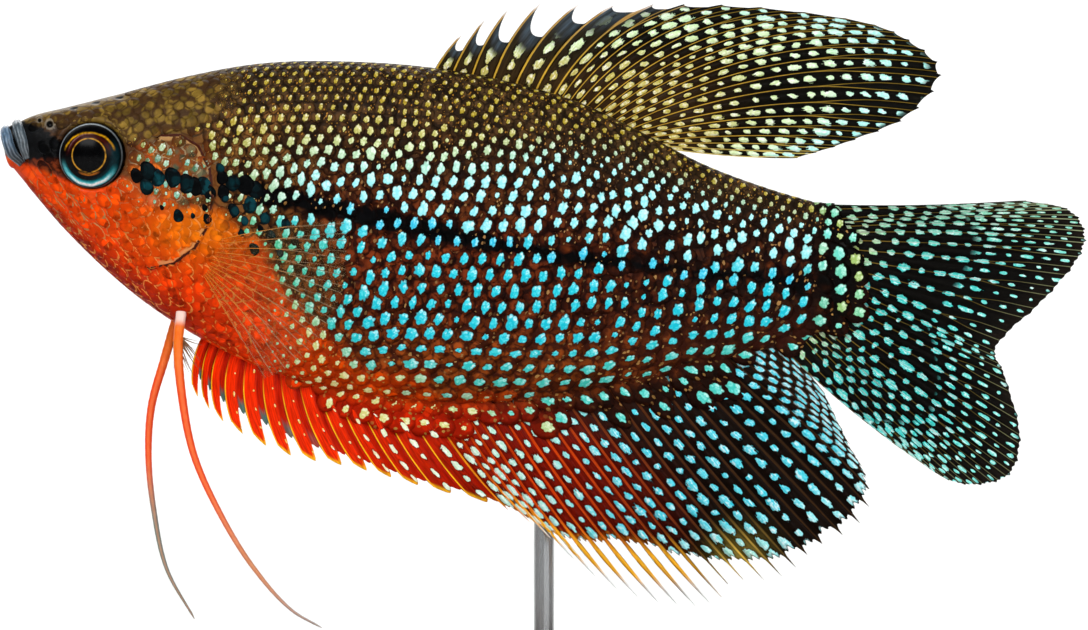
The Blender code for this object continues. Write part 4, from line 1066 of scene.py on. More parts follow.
# %% Fin tables: root station, tip station, tip height, bow, share beyond the membrane
DORSAL_RAYS = np.array([
    (43.0, 46.2, 59.3, 0.05, 0.42),
    (44.9, 48.5, 60.8, 0.05, 0.42),
    (46.9, 50.9, 61.9, 0.06, 0.42),
    (49.0, 54.1, 62.5, 0.07, 0.42),
    (51.2, 57.9, 62.4, 0.08, 0.36),
    (53.2, 61.4, 62.3, 0.09, 0.22),
    (54.9, 65.4, 62.4, 0.09, 0.10),
    (57.0, 75.0, 62.2, 0.11, 0.04),
    (59.0, 86.0, 60.7, 0.11, 0.010),
    (60.4, 91.2, 58.7, 0.10, 0.010),
    (61.8, 94.2, 55.5, 0.08, 0.010),
    (63.4, 91.0, 51.2, 0.05, 0.010),
    (64.9, 85.0, 48.6, 0.02, 0.010),
    (66.2, 79.8, 47.0, -0.02, 0.010),
])
ANAL_RAYS = np.array([
    (20.8, 19.3, 23.6, -0.10, 0.15),
    (23.2, 22.8, 20.3, -0.12, 0.15),
    (27.0, 28.9, 17.3, -0.08, 0.13),
    (31.4, 35.6, 16.0, -0.06, 0.11),
    (36.4, 42.4, 14.1, -0.05, 0.07),
    (42.4, 51.8, 11.3, -0.04, 0.03),
    (47.0, 61.0, 4.2, -0.03, 0.22),
    (52.4, 69.4, 2.1, -0.02, 0.26),
    (58.6, 75.2, 4.1, -0.02, 0.10),
    (65.0, 82.0, 6.8, -0.01, 0.05),
    (71.0, 87.4, 12.7, 0.02, 0.03),
    (74.8, 85.2, 18.0, 0.02, 0.02),
    (77.2, 82.6, 23.3, 0.01, 0.02),
])
TAIL_RAYS = np.array([
    (98, 102.6, 42.75, -0.015, 0.02),
    (80, 106.9, 41.9, 0.01, 0.02),
    (62, 108.6, 39.7, 0.02, 0.02),
    (40, 108.0, 37.0, 0.01, 0.02),
    (18, 104.6, 32.9, 0.00, 0.02),
    (-2, 99.8, 28.2, 0.00, 0.02),
    (-22, 100.6, 25.2, 0.00, 0.02),
    (-40, 102.1, 19.6, 0.00, 0.02),
    (-56, 101.3, 15.6, -0.01, 0.02),
    (-70, 98.4, 14.3, -0.01, 0.02),
    (-84, 95.0, 14.7, -0.02, 0.02),
    (-98, 91.4, 17.0, -0.02, 0.02),
])
ROOT_SINK = 1.6
print("rows in the tables:", len(DORSAL_RAYS), len(ANAL_RAYS), len(TAIL_RAYS))

# %% The fin sheet
PANEL_STEPS = np.array([0.07, 0.15, 0.23, 0.31, 0.39, 0.47, 0.55, 0.62, 0.69, 0.77, 0.85, 0.93])
FIN_ROWS = 52
SKIN_HALF, RAY_RISE, RAY_TAPER = 0.05, 0.16, 0.8
PLEAT = 0.16


def fin_lines(table, roots_at, row_of):
    """A function for places (a, h) at ray numbers k and shares s of the way out: quadratic Bezier curves."""
    rows = np.arange(len(table), dtype=float)

    def place(k, s):
        read = [through(rows, column, row_of(k)) for column in table.T]
        root = roots_at(read[0], k)
        tip = np.stack(read[1:3], axis=-1)
        along = tip - root
        aside = np.stack([-along[..., 1], along[..., 0]], axis=-1)
        bend = (root + tip) / 2 + 2 * read[3][..., None] * aside
        s = s[..., None]
        curve = (1 - s) ** 2 * root + 2 * s * (1 - s) * bend + s**2 * tip
        return curve, np.linalg.norm(along, axis=-1), read[4]

    return place


def fin_columns(count):
    """Ray numbers, sides of the ray (-1, 0, 1) and whether it is a ray, for all columns in order."""
    ray = np.arange(count, dtype=float)
    between = (ray[:-1, None] + PANEL_STEPS).ravel()
    k = np.concatenate([np.repeat(ray, 3), between])
    flank = np.concatenate([np.tile([-1.0, 0.0, 1.0], count), np.zeros(len(between))])
    is_ray = np.concatenate([np.ones(3 * count), np.zeros(len(between))])
    order = np.argsort(k + flank * 1e-3, kind="stable")
    return k[order], flank[order], is_ray[order]


def sheet_faces(rows, columns):
    """A closed sheet's faces: two sides, points numbered one side after the other, and its rim."""
    one = grid_faces(rows, columns)
    ids = np.arange(rows * columns).reshape(rows, columns)
    loop = np.concatenate([ids[0, :-1], ids[:-1, -1], ids[-1, :0:-1], ids[:0:-1, 0]])
    after = np.roll(loop, -1)
    return np.vstack([one, one[:, ::-1] + ids.size,
                      np.stack([loop, loop + ids.size, after + ids.size, after], axis=1)])


def fin(name, count, place, margin, ray_half, sideways, colours, ray_ends=np.ones_like, material=None,
        rows=FIN_ROWS):
    """The fin as a closed sheet: columns are the rays' flanks and crests and steps of the skin between them.

    Each column runs from the root to its own edge: a ray's to its tip, the skin's to margin(number, share
    between rays, free shares). Flanks stand off the crest by ray_half(k, s). Spots holds half width, half
    length, and how much spots show between the rays and on them.
    """
    k, flank, is_ray = fin_columns(count)
    free = place(np.arange(count, dtype=float), np.ones(count))[2]
    low = np.clip(k.astype(int), 0, count - 2)
    edge = np.where(is_ray > 0, ray_ends(k), margin(low, k - low, free[low], free[low + 1]))
    s = np.linspace(0, 1, rows)[:, None] ** 0.9 * edge[None]
    wide_k = np.broadcast_to(k, s.shape)
    ahead, behind = np.clip(wide_k + 0.5, 0, count - 1), np.clip(wide_k - 0.5, 0, count - 1)
    spot, length, _ = place(wide_k, s)
    run = place(wide_k, s + 0.01)[0] - place(wide_k, s - 0.01)[0]
    across = np.stack([-run[..., 1], run[..., 0]], axis=-1) / np.linalg.norm(run, axis=-1, keepdims=True)
    panel = ((place(ahead, s)[0] - place(behind, s)[0]) * across).sum(axis=-1) / (ahead - behind)
    across *= np.sign(panel)[..., None]
    panel = np.maximum(np.abs(panel), 0.05)
    width = np.minimum(ray_half(wide_k, s), 0.25 * panel)
    spot = spot + across * (flank * width)[..., None]
    fold_painted_light = is_ray * (flank == 0)
    half = SKIN_HALF * (1 - 0.5 * s) + fold_painted_light * np.minimum(RAY_RISE * (1 - RAY_TAPER * s), 0.25 * panel)
    numbers = wide_k + flank * width / panel
    pleat = PLEAT * np.minimum(panel, 1.5) * np.cos(2 * math.pi * numbers) * smooth(0.0, 0.4, s)
    y, normal = sideways(spot[..., 0], spot[..., 1])
    middle = np.stack([spot[..., 0], y, spot[..., 1]], axis=-1) + normal * pleat[..., None]
    points = np.concatenate([(middle - normal * half[..., None]).reshape(-1, 3),
                             (middle + normal * half[..., None]).reshape(-1, 3)])
    look = colours(spot[..., 0].ravel(), spot[..., 1].ravel(), numbers.ravel(), s.ravel(),
                   (s / edge).ravel())
    look["Rays"] = np.column_stack([numbers.ravel(), (s * length).ravel()])
    look["Panel"] = np.column_stack([panel.ravel(), s.ravel()])
    return piece(name, points, [sheet_faces(*s.shape)], material or fin_cover,
                 {key: np.concatenate([values, values]) for key, values in look.items()})


def fin_look(ground, bone, bone_width, pearl, wide=0.0, long=1.0, between=0.0, on_ray=0.0, split=0.0,
             clear=1.0):
    """The attributes that the fin materials read, from arrays or single numbers."""
    count = len(ground)
    spots = np.column_stack([np.broadcast_to(part, count) for part in (wide, long, between, on_ray)])
    return {"Ground": with_alpha(ground, clear), "Bone": with_alpha(bone, bone_width),
            "Pearl": with_alpha(pearl, split), "Spots": spots}


def upright(a, h):
    """A sheet in the fish's middle plane, with its normal."""
    return np.zeros_like(a), np.broadcast_to((0.0, 1.0, 0.0), (*a.shape, 3))


print("columns of a fin with 20 rays:", len(fin_columns(20)[0]))

# %% Fin material
# Wet skin stretched over bone: the skin is streaked along the rays, the bone is smoother and paler, and a
# thin gloss lies over both. The spots between two rays stand in a row, one every SPOT_PITCH millimetres.
SPOT_PITCH, SPOT_WANDER, FIN_GRAIN = 1.85, 1.4, 0.3


def ray_lines(add, softness):
    """Ray number, way out, panel width and bone colour on a fin, and how much of a ray shows there.

    It shows where the distance in mm to a ray or, where it has split, to its branch, is under its width.
    """
    number, down = add("SeparateXYZ", add("Attribute", attribute_name="Rays", out="Vector"), out=("X", "Y"))
    panel = add("SeparateXYZ", add("Attribute", attribute_name="Panel", out="Vector"))
    bone, bone_width = add("Attribute", attribute_name="Bone", out=("Color", "Alpha"))
    split = add("Attribute", attribute_name="Pearl", out="Alpha")
    beside = add("Math.SUBTRACT", add("Math.FRACT", add("Math.ADD", number, 0.5)), 0.5)
    fork = add("Math.SUBTRACT", add("Math.ABSOLUTE", beside), split)
    off_ray = add("Math.MULTIPLY", add("Math.ABSOLUTE", fork), panel)
    line = add("MapRange", add("Math.SUBTRACT", off_ray, bone_width), softness, -0.015, **SOFT)
    return number, down, panel, bone, line


fin_cover, add = new_material("wet_fin_skin_over_rays")
number, down, panel, bone, line = ray_lines(add, 0.04)
spot_sizes, on_ray = add("Attribute", attribute_name="Spots", out=("Color", "Alpha"))
half_wide, half_long, between = add("SeparateColor", spot_sizes, out=("Red", "Green", "Blue"))
ground = add("Attribute", attribute_name="Ground", out="Color")
pearl = add("Attribute", attribute_name="Pearl", out="Color")
where = add("TexCoord", out="Object")
fine = add("TexNoise", where, 1 / (FIN_GRAIN * MM), 2.0)
coarse = add("TexNoise", where, 1 / (SPOT_WANDER * MM), 2.0)
lengthwise = add("CombineXYZ", add("Math.MULTIPLY", number, 11.0), add("Math.MULTIPLY", down, 0.5), 0.0)
strands = add("TexNoise", lengthwise, 1.0, 3.0)


def spot_mask(shift):
    """Rows of spots, one a panel: a lattice cell's local place against the spot's half width and length.

    Gives the spot and the soft halo round it.
    """
    shifted = add("Math.ADD", number, shift)
    cell = add("Math.FLOOR", shifted)
    aside = add("Math.MULTIPLY", add("Math.SUBTRACT", add("Math.FRACT", shifted), 0.5), panel)
    turn = add("Math.MULTIPLY_ADD", cell, 0.5, add("Math.MULTIPLY", down, 1 / SPOT_PITCH))
    turn = add("Math.MULTIPLY_ADD", coarse, 0.9, turn)
    step = add("Math.FLOOR", turn)
    luck = add("TexWhiteNoise", add("CombineXYZ", cell, step, shift), out="Value")
    ahead = add("Math.MULTIPLY", add("Math.SUBTRACT", add("Math.FRACT", turn), 0.5), SPOT_PITCH)
    grown = add("Math.MULTIPLY_ADD", luck, 0.5, 0.7)
    wide = add("Math.MINIMUM", add("Math.MULTIPLY", half_wide, grown), add("Math.MULTIPLY", panel, 0.44))
    long = add("Math.MULTIPLY", half_long, grown)
    off = add("CombineXYZ", add("Math.DIVIDE", aside, wide), add("Math.DIVIDE", ahead, long), 0.0)
    torn = frayed(add, add("VectorMath.LENGTH", off), fine, 0.8)
    torn = frayed(add, torn, strands, 1.0)
    return add("MapRange", torn, 1.05, 0.88, **SOFT), add("MapRange", torn, 1.6, 1.0, **SOFT)


panel_spot, panel_halo = spot_mask(0.0)
ray_spot, ray_halo = spot_mask(0.5)
spots = add("Math.MAXIMUM", add("Math.MULTIPLY", panel_spot, between),
            add("Math.MULTIPLY", ray_spot, on_ray))
halo = add("Math.MAXIMUM", add("Math.MULTIPLY", panel_halo, between), add("Math.MULTIPLY", ray_halo, on_ray))

# Skin in darker and lighter strands, darkest round the streaky spots; a ray that crosses one is bright.
streak = add("Math.MULTIPLY_ADD", strands, 1.8, 0.1)
membrane = add("VectorMath.SCALE", ground, streak)
dim = add("VectorMath.SCALE", ground, 0.25)
membrane = add("Mix", add("Math.MULTIPLY", halo, 0.8), membrane, dim, data_type="RGBA")
deep, pale = add("Gamma", pearl, 1.6), add("Mix", 0.6, pearl, rgba("#FFFFFF"), data_type="RGBA")
streaky = add("Math.MULTIPLY", add("Math.ADD", strands, fine), 0.5)
spot_look = add("Mix", add("MapRange", streaky, 0.36, 0.48), deep, pearl, data_type="RGBA")
spot_look = add("Mix", add("MapRange", streaky, 0.5, 0.6), spot_look, pale, data_type="RGBA")
spotted = add("Mix", spots, membrane, spot_look, data_type="RGBA")
glossy_bone = add("VectorMath.SCALE", bone, add("Math.MULTIPLY_ADD", strands, 1.2, 0.4))
ray_look = add("Mix", add("Math.MULTIPLY", spots, 0.65), glossy_bone, pale, data_type="RGBA")
lined = add("Mix", line, spotted, ray_look, data_type="RGBA")
height = add("Math.MULTIPLY_ADD", strands, 0.4, line)
add("OutputMaterial", add("BsdfPrincipled", named={
    "Base Color": lined, "Roughness": add("Math.MULTIPLY_ADD", fine, 0.3, 0.3),
    **WET, "Specular IOR Level": 0.06, "Coat Weight": 0.03,
    "Normal": add("Bump", 1.0, 0.02 * MM, named={"Height": height})}))
print("fin material:", len(fin_cover.node_tree.nodes), "nodes")

# %% [markdown]
# ## The dorsal fin
#
# Seven spines with free points stand at the front, then nineteen soft rays lean far back over the tail.
# Roots, margin, ray width and colours are one small function each, and the same sheet takes them for every
# fin.

# %% Dorsal fin
DORSAL_COUNT, DORSAL_SPINES = 26, 6


def dorsal_rows(k):
    """The table row of a ray: spines have a row each, soft rays share the rest evenly."""
    return np.interp(k, [0, DORSAL_SPINES, DORSAL_COUNT - 1], [0, DORSAL_SPINES, len(DORSAL_RAYS) - 1])


def dorsal_roots(station, k):
    """Roots sunk below the back, less so towards the rear."""
    back = body_levels(station)[0]
    return np.stack([station, back - ROOT_SINK * (1 - 0.6 * k / (DORSAL_COUNT - 1))], axis=-1)


def dorsal_ray(k, s):
    """Spines are stout and end in points, soft rays are fine."""
    spiny = smooth(DORSAL_SPINES + 1.5, DORSAL_SPINES - 1, k)
    return (0.06 + 0.12 * spiny) * (1 - 0.5 * s) * np.clip((1 - s) / (0.04 + 0.06 * spiny), 0, 1) ** 0.7


def spiny_margin(number, u, free, next_free):
    """Behind a spine the skin starts near its point and sinks in a hollow curve to the next one's middle."""
    high, low = 1 - 0.08 * free, 1 - 1.15 * next_free
    return high + (low - high) * (1 - (1 - u) ** 3) - 0.006 * np.sin(math.pi * u)


def dorsal_colours(a, h, k, s, share):
    """Nearly black, browner between the spines; golden rays, and pale spots that grow outwards."""
    spiny = smooth(DORSAL_SPINES + 2, DORSAL_SPINES - 1, k)
    ground = blended(
        "#0C0B07",
        ("#2A2212", spiny * 0.8),
        ("#3E4A54", spiny * smooth(0.65, 0.95, share) * (0.4 + 0.6 * np.sin(k * 9) ** 2)),
        ("#3A260E", smooth(0.5, 0.1, s) * 0.6))
    bone = blended(
        "#C49A34",
        ("#8A7028", smooth(0.2, 0.9, s)),
        ("#B08A4E", spiny * smooth(0.3, 0.8, s)),
        ("#E0D6D2", spiny * smooth(0.86, 0.97, s)),
        ("#D2BC68", smooth(22, 25, k) * 0.9))
    pearl = blended(
        "#C4B868",
        ("#D6ECC0", smooth(0.2, 0.6, s)),
        ("#B6EFE8", smooth(0.6, 0.9, s) * smooth(6, 12, k)))
    outer = smooth(0.35, 0.6, s)
    wide = 0.24 + 0.09 * outer * smooth(1.0, 0.8, s) + 0.12 * spiny
    long = 0.48 + 0.1 * outer - 0.14 * smooth(0.8, 1, s) + 0.24 * spiny
    between = (1 - spiny * smooth(0.6, 0.8, share)) * smooth(0.99, 0.96, share)
    width = 0.035 + 0.06 * spiny - 0.022 * s + 0.03 * smooth(22, 25, k)
    split = 0.2 * smooth(0.6, 0.85, s) * (1 - spiny)
    return fin_look(ground, bone, width, pearl, wide, long, between, 0.0, split)


dorsal = fin("dorsal_fin_skin", DORSAL_COUNT, fin_lines(DORSAL_RAYS, dorsal_roots, dorsal_rows),
             spiny_margin, dorsal_ray, upright, dorsal_colours)
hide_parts("dorsal_fin")

# %% [markdown]
# ## The anal fin
#
# The longest fin runs under two thirds of the body. Its front is a row of red vanes with yellow edges, its
# middle has rays that end in long clear threads, and its rear is black with bright dashes and a ragged
# margin.

# %% Anal fin
ANAL_COUNT = 44
VANES, THREADS_TO = 13, 23
VANE_TIP_AT, VANE_ENDS = 0.38, 0.64


def anal_rows(k):
    """The table row of a ray: the vanes spread over the first rows."""
    return np.interp(k, [0, VANES, ANAL_COUNT - 1], [0, 4.9, len(ANAL_RAYS) - 1])


def anal_roots(station, k):
    """Roots sunk above the belly's line."""
    return np.stack([station, body_levels(station)[1] + ROOT_SINK], axis=-1)


def anal_ray(k, s):
    """Fine rays, stouter where they leave the skin as free threads, which taper to nothing."""
    thread = smooth(VANES, VANES + 2, k) * smooth(THREADS_TO + 3, THREADS_TO, k)
    width = 0.09 + 0.26 * thread * smooth(0.62, 0.8, s)
    return width * (1 - 0.4 * s) * np.clip((1 - s) / 0.2, 0, 1) ** 0.8


def vane_edge(number, u):
    """A leaf-shaped vane: its edge rises from the ray to a tip, falls steeply behind it and leaves a gap."""
    gap = np.interp(number, [0, 4, 6, 9, VANES], [0.4, 0.36, 0.22, 0.12, 0.07])
    rise = np.interp(number, [0, 6, VANES], [0.1, 0.06, 0.02])
    leaf = 1 - rise * (1 - np.clip(u / VANE_TIP_AT, 0, 1)) ** 1.5
    behind = np.clip((u - VANE_TIP_AT) / (VANE_ENDS - VANE_TIP_AT), 0, 1)
    lobe = 0.25 * gap * np.sin(np.clip((u - VANE_ENDS) / (1 - VANE_ENDS), 0, 1) * math.pi)
    return leaf - gap * behind**1.6 + lobe


def anal_ends(k):
    """A vane's ray ends before the vane's tip, the rays of the rear part end unevenly."""
    rear = smooth(THREADS_TO, THREADS_TO + 2, k)
    return np.where(k < VANES, vane_edge(k, np.zeros_like(k)),
                    1 - 0.05 * rear * (0.5 + 0.5 * np.sin(k * 5.1)))


def anal_margin(number, u, free, next_free):
    """Vanes in front; behind them the skin sags a little between free threads and is frayed at the rear."""
    ragged = 0.5 + 0.5 * np.sin(number * 2.4) * np.cos(number * 1.1)
    sag = 1 - (1.05 * (free * (1 - u) + next_free * u) + (0.012 + 0.03 * ragged) * np.sin(math.pi * u))
    return np.where(number < VANES, vane_edge(number, u), sag - 0.02 * np.sin(3 * math.pi * u) ** 2)


def anal_colours(a, h, k, s, share):
    """Red vanes with yellow edges, red skin with gold threads, then black with cyan dashes."""
    below = along_line(RED_LINE, a) - h
    red = smooth(-3.0, 2.0, below) * smooth(72, 52, a)
    ground = blended(
        "#2A120A",
        ("#120A06", smooth(56, 74, a)),
        (blended("#E42A02", ("#741002", smooth(32, 52, a))), red))
    vane = smooth(VANES + 1.0, VANES - 1.0, k)
    u = k - np.floor(k)
    ground = blended(
        ground,
        ("#9A1000", vane * smooth(0.5, 0.72, u) * 0.8),
        ("#4A6A66", smooth(8, 5, k) * smooth(0.64, 0.72, u) * smooth(0.75, 0.9, share)),
        ("#F6B41C", smooth(0.93, 0.98, share) * smooth(VANE_ENDS, VANE_TIP_AT, u) * vane),
        ("#E08A1A", smooth(0.94, 1.0, share) * (1 - vane) * red * 0.7))
    bone = blended(
        "#5A2C12",
        ("#34200F", smooth(58, 76, a)),
        ("#DC4204", red * 0.85),
        ("#F8B81C", vane * smooth(0.2, 0.5, s)),
        ("#E07A14", smooth(0.55, 0.8, s) * smooth(66, 56, a) * (1 - vane)))
    thread = smooth(VANES, VANES + 3, k) * smooth(THREADS_TO + 2, THREADS_TO, k)
    bone = blended(
        bone,
        ("#F4B028", smooth(0.66, 0.78, s) * thread),
        ("#EEF2F4", smooth(0.86, 0.95, s) * thread))
    gold = np.exp(-((a - 74.0) / 2.6) ** 2 - ((h - 6.9) / 2.4) ** 2)
    bone = blended(bone, ("#D8B24A", gold))
    ground = blended(ground, ("#A08A3A", gold * 0.5))
    pearl = blended(
        "#E4EACB",
        ("#B4E6DA", smooth(40, 54, a)),
        ("#5CD4E4", smooth(52, 64, a)),
        ("#B5EDEE", smooth(0.75, 1.0, share) * smooth(60, 70, a) * 0.8),
        ("#A8DCCB", gold))
    grown = 0.3 + 0.7 * smooth(VANES - 6.0, VANES + 1, k)
    wide = (0.3 + 0.08 * smooth(58, 70, a)) * grown
    long = (0.5 + 0.24 * smooth(0.3, 0.9, s)) * grown
    between = (k > 3) * smooth(1.0, 0.98, share)
    pearl = blended(pearl, ("#F4C060", smooth(11, 7, k)))
    width = 0.05 * vane + (0.11 - 0.05 * smooth(0.6, 1, s)) * (1 - vane)
    width = width + 0.12 * smooth(0.66, 0.8, s) * thread
    return fin_look(ground, bone, width, pearl, wide, long, between)


anal = fin("anal_fin_skin", ANAL_COUNT, fin_lines(ANAL_RAYS, anal_roots, anal_rows), anal_margin, anal_ray,
           anal_wave, anal_colours, anal_ends)
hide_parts("anal_fin_front", "anal_fin_rear")

# %% [markdown]
# ## The tail fin
#
# Two rounded lobes with a shallow fork. The rays split twice, so that the margin is finely striped.

# %% Tail fin
TAIL_COUNT = 24


def tail_rows(k):
    """The table row of a ray, evenly from the top to the bottom."""
    return k * (len(TAIL_RAYS) - 1) / (TAIL_COUNT - 1)


def tail_roots(angle, k):
    """Roots on half an ellipse round the end of the body, from the table's angles in degrees."""
    turn = np.radians(angle)
    sunk = 1 - 0.3 * smooth(0, 2.5, np.minimum(k, TAIL_COUNT - 1 - k))
    return np.stack([TAIL_ARC_CENTRE + np.cos(turn) * TAIL_ARC_REACH * sunk,
                     TAIL_ROOT[1] + np.sin(turn) * TAIL_ARC_HEIGHT * sunk], axis=-1)


def fine_ray(k, s):
    """A ray that stays fine and thins out to the margin."""
    return 0.07 * (1 - 0.5 * s) * np.clip((1 - s) / 0.04, 0, 1) ** 0.7


def soft_margin(number, u, free, next_free):
    """Nearly out to the rays' tips, notched between two rays and finely between their branches."""
    return 1 - 0.008 * np.sin(math.pi * u) - 0.006 * np.sin(3 * math.pi * u) ** 2


def tail_colours(a, h, k, s, share):
    """Black with fine rays, yellow-green spots at the root and blue-green dashes further out."""
    upper = smooth(9, 2, k)
    ground = blended("#0A0907", ("#17120D", smooth(0.85, 1, s)))
    bone = blended(
        "#7A6224",
        ("#54461E", smooth(0.1, 0.5, s)),
        ("#A9B48C", smooth(0.75, 0.97, s) * (0.35 + 0.5 * upper)),
        ("#2A1E10", smooth(0.7, 0.1, k)))
    pearl = blended(
        "#C6CC70",
        ("#4CCEC8", smooth(0.1, 0.36, s + 0.12 * smooth(6, 10, k))),
        ("#9AD0B0", upper * 0.8),
        ("#9AEAE0", smooth(0.6, 0.95, s) * (1 - upper) * 0.7))
    wide = 0.38 - 0.21 * smooth(0.2, 0.85, s) - 0.07 * upper
    long = 0.4 + 0.17 * smooth(0.15, 0.45, s) - 0.22 * smooth(0.7, 1, s)
    outer = smooth(0.6, 0.85, s)
    return fin_look(ground, bone, 0.03 - 0.016 * s + 0.012 * upper * outer, pearl, wide, long,
                    smooth(0.58, 0.62, s), smooth(1.0, 0.97, share) * smooth(-0.2, 0.9, k),
                    0.2 * smooth(0.6, 0.85, s))


tail = fin("tail_fin_skin", TAIL_COUNT, fin_lines(TAIL_RAYS, tail_roots, tail_rows), soft_margin, fine_ray,
           upright, tail_colours)
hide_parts("tail_fin_upper", "tail_fin_lower")

# %% [markdown]
# ## The pectoral fins
#
# Behind each gill cover a fan of fine rays stands off the flank. Its skin is almost as clear as glass: only
# the rays draw it, orange at the root and brown further out. Glass with refraction would be slow and noisy
# on so thin a sheet, so the skin gets a low alpha instead.

# %% Pectoral fins
PECTORAL_COUNT = 13
PECTORAL_ROOT = (21.6, 36.9)
PECTORAL_ROOT_LENGTH, PECTORAL_SINK = 3.0, 1.2
PECTORAL_REACH, PECTORAL_LOWER_SHARE = 14.6, 0.78
PECTORAL_SPREAD = (14.0, -58.0)
PECTORAL_SPLAY = math.radians(24)


def flank(a, h):
    """Half width of the skin at a place on the flank, from the same rounded section as the sheet."""
    back, belly, width = body_levels(np.asarray(a, float))
    middle = belly + WIDEST_AT * (back - belly)
    upper = h >= middle
    up = (h - middle) / (np.where(upper, back - middle, middle - belly) - COAT_DEPTH)
    return (width - COAT_DEPTH) * (1 - np.clip(up, -1, 1) ** 2) ** (fullness(a, upper) / 2)


def pectoral_place(k, s):
    """Straight rays at even angles from a short root line, the lower ones shorter."""
    share = k / (PECTORAL_COUNT - 1)
    angle = np.radians(PECTORAL_SPREAD[0] + share * (PECTORAL_SPREAD[1] - PECTORAL_SPREAD[0]))
    reach = PECTORAL_REACH * (1 - (1 - PECTORAL_LOWER_SHARE) * share**2)
    root = np.stack([np.full_like(share, PECTORAL_ROOT[0] - PECTORAL_SINK),
                     PECTORAL_ROOT[1] + (0.5 - share) * PECTORAL_ROOT_LENGTH], axis=-1)
    out = np.stack([np.cos(angle), np.sin(angle) - 0.08 * s], axis=-1)
    return root + out * (reach * s)[..., None], reach, np.full_like(share, 0.02)


def splayed(side):
    """The sheet of a pectoral fin, which leans away from the flank, and its normal."""
    lean = math.tan(PECTORAL_SPLAY)
    normal = np.array([-side * lean, 1.0, 0.0]) / math.hypot(lean, 1)

    def sideways(a, h):
        y = side * (flank(*PECTORAL_ROOT) + (a - PECTORAL_ROOT[0]) * lean)
        return y, np.broadcast_to(normal, (*a.shape, 3))

    return sideways


def pectoral_colours(a, h, k, s, share):
    """Clear skin that turns orange at the root, and rays from orange to brown."""
    bone = blended("#F09A3A", ("#A08468", smooth(0.3, 0.75, s)))
    ground = blended("#E8600C", ("#8A7446", smooth(0.05, 0.35, s)))
    return fin_look(ground, bone, 0.018 - 0.008 * s, bone, split=0.2 * smooth(0.5, 0.85, s),
                    clear=0.04 + 0.3 * smooth(0.22, 0.02, s))


# Skin as clear as wet film: only the rays and, at the root, some pigment cover what is behind.
clear_cover, add = new_material("clear_fin_skin")
*_, bone, line = ray_lines(add, 0.045)
ground, glass = add("Attribute", attribute_name="Ground", out=("Color", "Alpha"))
joints = add("TexNoise", add("TexCoord", out="Object"), 1 / (0.5 * MM), 2.0)
look = add("Mix", line, ground, bone, data_type="RGBA")
solid = add("Math.MULTIPLY", line, add("Math.MULTIPLY_ADD", joints, 0.8, 0.25), use_clamp=True)
add("OutputMaterial", add("BsdfPrincipled", named={
    "Base Color": look, "Roughness": 0.3, "IOR": 1.34, "Specular IOR Level": 0.06,
    "Alpha": add("Math.MAXIMUM", solid, glass),
    "Normal": add("Bump", 1.0, 0.03 * MM, named={"Height": line})}))

for word, side in SIDES.items():
    pectoral = fin(f"pectoral_fin_skin_{word}", PECTORAL_COUNT, pectoral_place, soft_margin, fine_ray,
                   splayed(side), pectoral_colours, material=clear_cover, rows=40)
    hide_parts(f"pectoral_fin_{word}")

# %% [markdown]
# ## The eyes
#
# A fish's eye is a clear dome over a dark ball. From the middle outwards come the black pupil, a thin gold
# ring, a maroon band with a golden arc above it, black, and a silver-blue crescent below. The dome is half
# of a stretched ball, described by an angle from its axis and a turn round it, so each ring lies on a
# circle of points.

# %% Eyes
EYE_DEPTH, EYE_SUNK, EYE_TURN = 2.4, 0.95, math.radians(7)
EYE_BALL = 3.3
EYE_RINGS, EYE_TURNS = 90, 120
FIRST_RING = 0.012


def band(value, start, end, soft):
    """1 between two values and 0 outside, with soft edges."""
    return smooth(start - soft, start + soft, value) * smooth(end + soft, end - soft, value)


def iris(across, up):
    """The colour at a place on the eye, from its distance to the axis and its turn, both a little wavy."""
    turn = np.arctan2(up, across)
    far = np.hypot(across, up * np.where(up < 0, 0.97, 1.0))
    wave = 0.03 * np.sin(9 * turn) * np.sin(4 * turn + 1)
    flecks = 0.75 + 0.25 * np.sin(23 * turn + 3 * np.sin(7 * turn))
    above, below = smooth(-0.1, 0.5, np.sin(turn)), smooth(0.15, 0.9, -np.sin(turn + 0.1))
    flat = np.hypot(across, 1.14 * up)
    return blended(
        "#020203",
        ("#420E08", band(flat, 1.95, 2.4, 0.16) * above * 0.8),
        # A pink band at the upper front of the maroon is a painted highlight.
        ("#C08A8A", band(far, 2.1, 2.2, 0.06) * smooth(0.6, 0.95, np.sin(turn - 0.5)) * 0.5 * flecks),
        ("#07262C", band(far, 2.2, 2.95, 0.2) * smooth(0.3, 0.9, np.cos(turn + 0.5))),
        ("#F0AC14", band(flat + wave, 2.5, 2.66, 0.06) * smooth(0.16, 0.4, np.sin(turn)) * flecks),
        ("#1A9CA8", band(far, 2.5, 3.0, 0.14) * below),
        ("#7FEAF4", band(far + wave, 2.65, 2.95, 0.1) * below ** 1.5),
        ("#FFFFFF", band(far + 2 * wave, 2.72, 2.92, 0.06) * smooth(0.6, 0.95, -np.sin(turn))),
        ("#E0A030", band(far + wave, 1.65, 1.71, 0.03)),
        ("#B8681A", band(far + wave, 1.82, 1.94, 0.05) * smooth(0.8, 0.97, -np.sin(turn))),
        ("#06080A", smooth(3.0, 3.04, far)),
        # The grey rim is the eye's own, and it is painted lighter at the upper front as a highlight.
        ("#A3AEB4", band(far, 3.1, 3.2, 0.03) * (0.45 + 0.55 * smooth(-0.2, 0.8, np.cos(turn - 2.2)))))


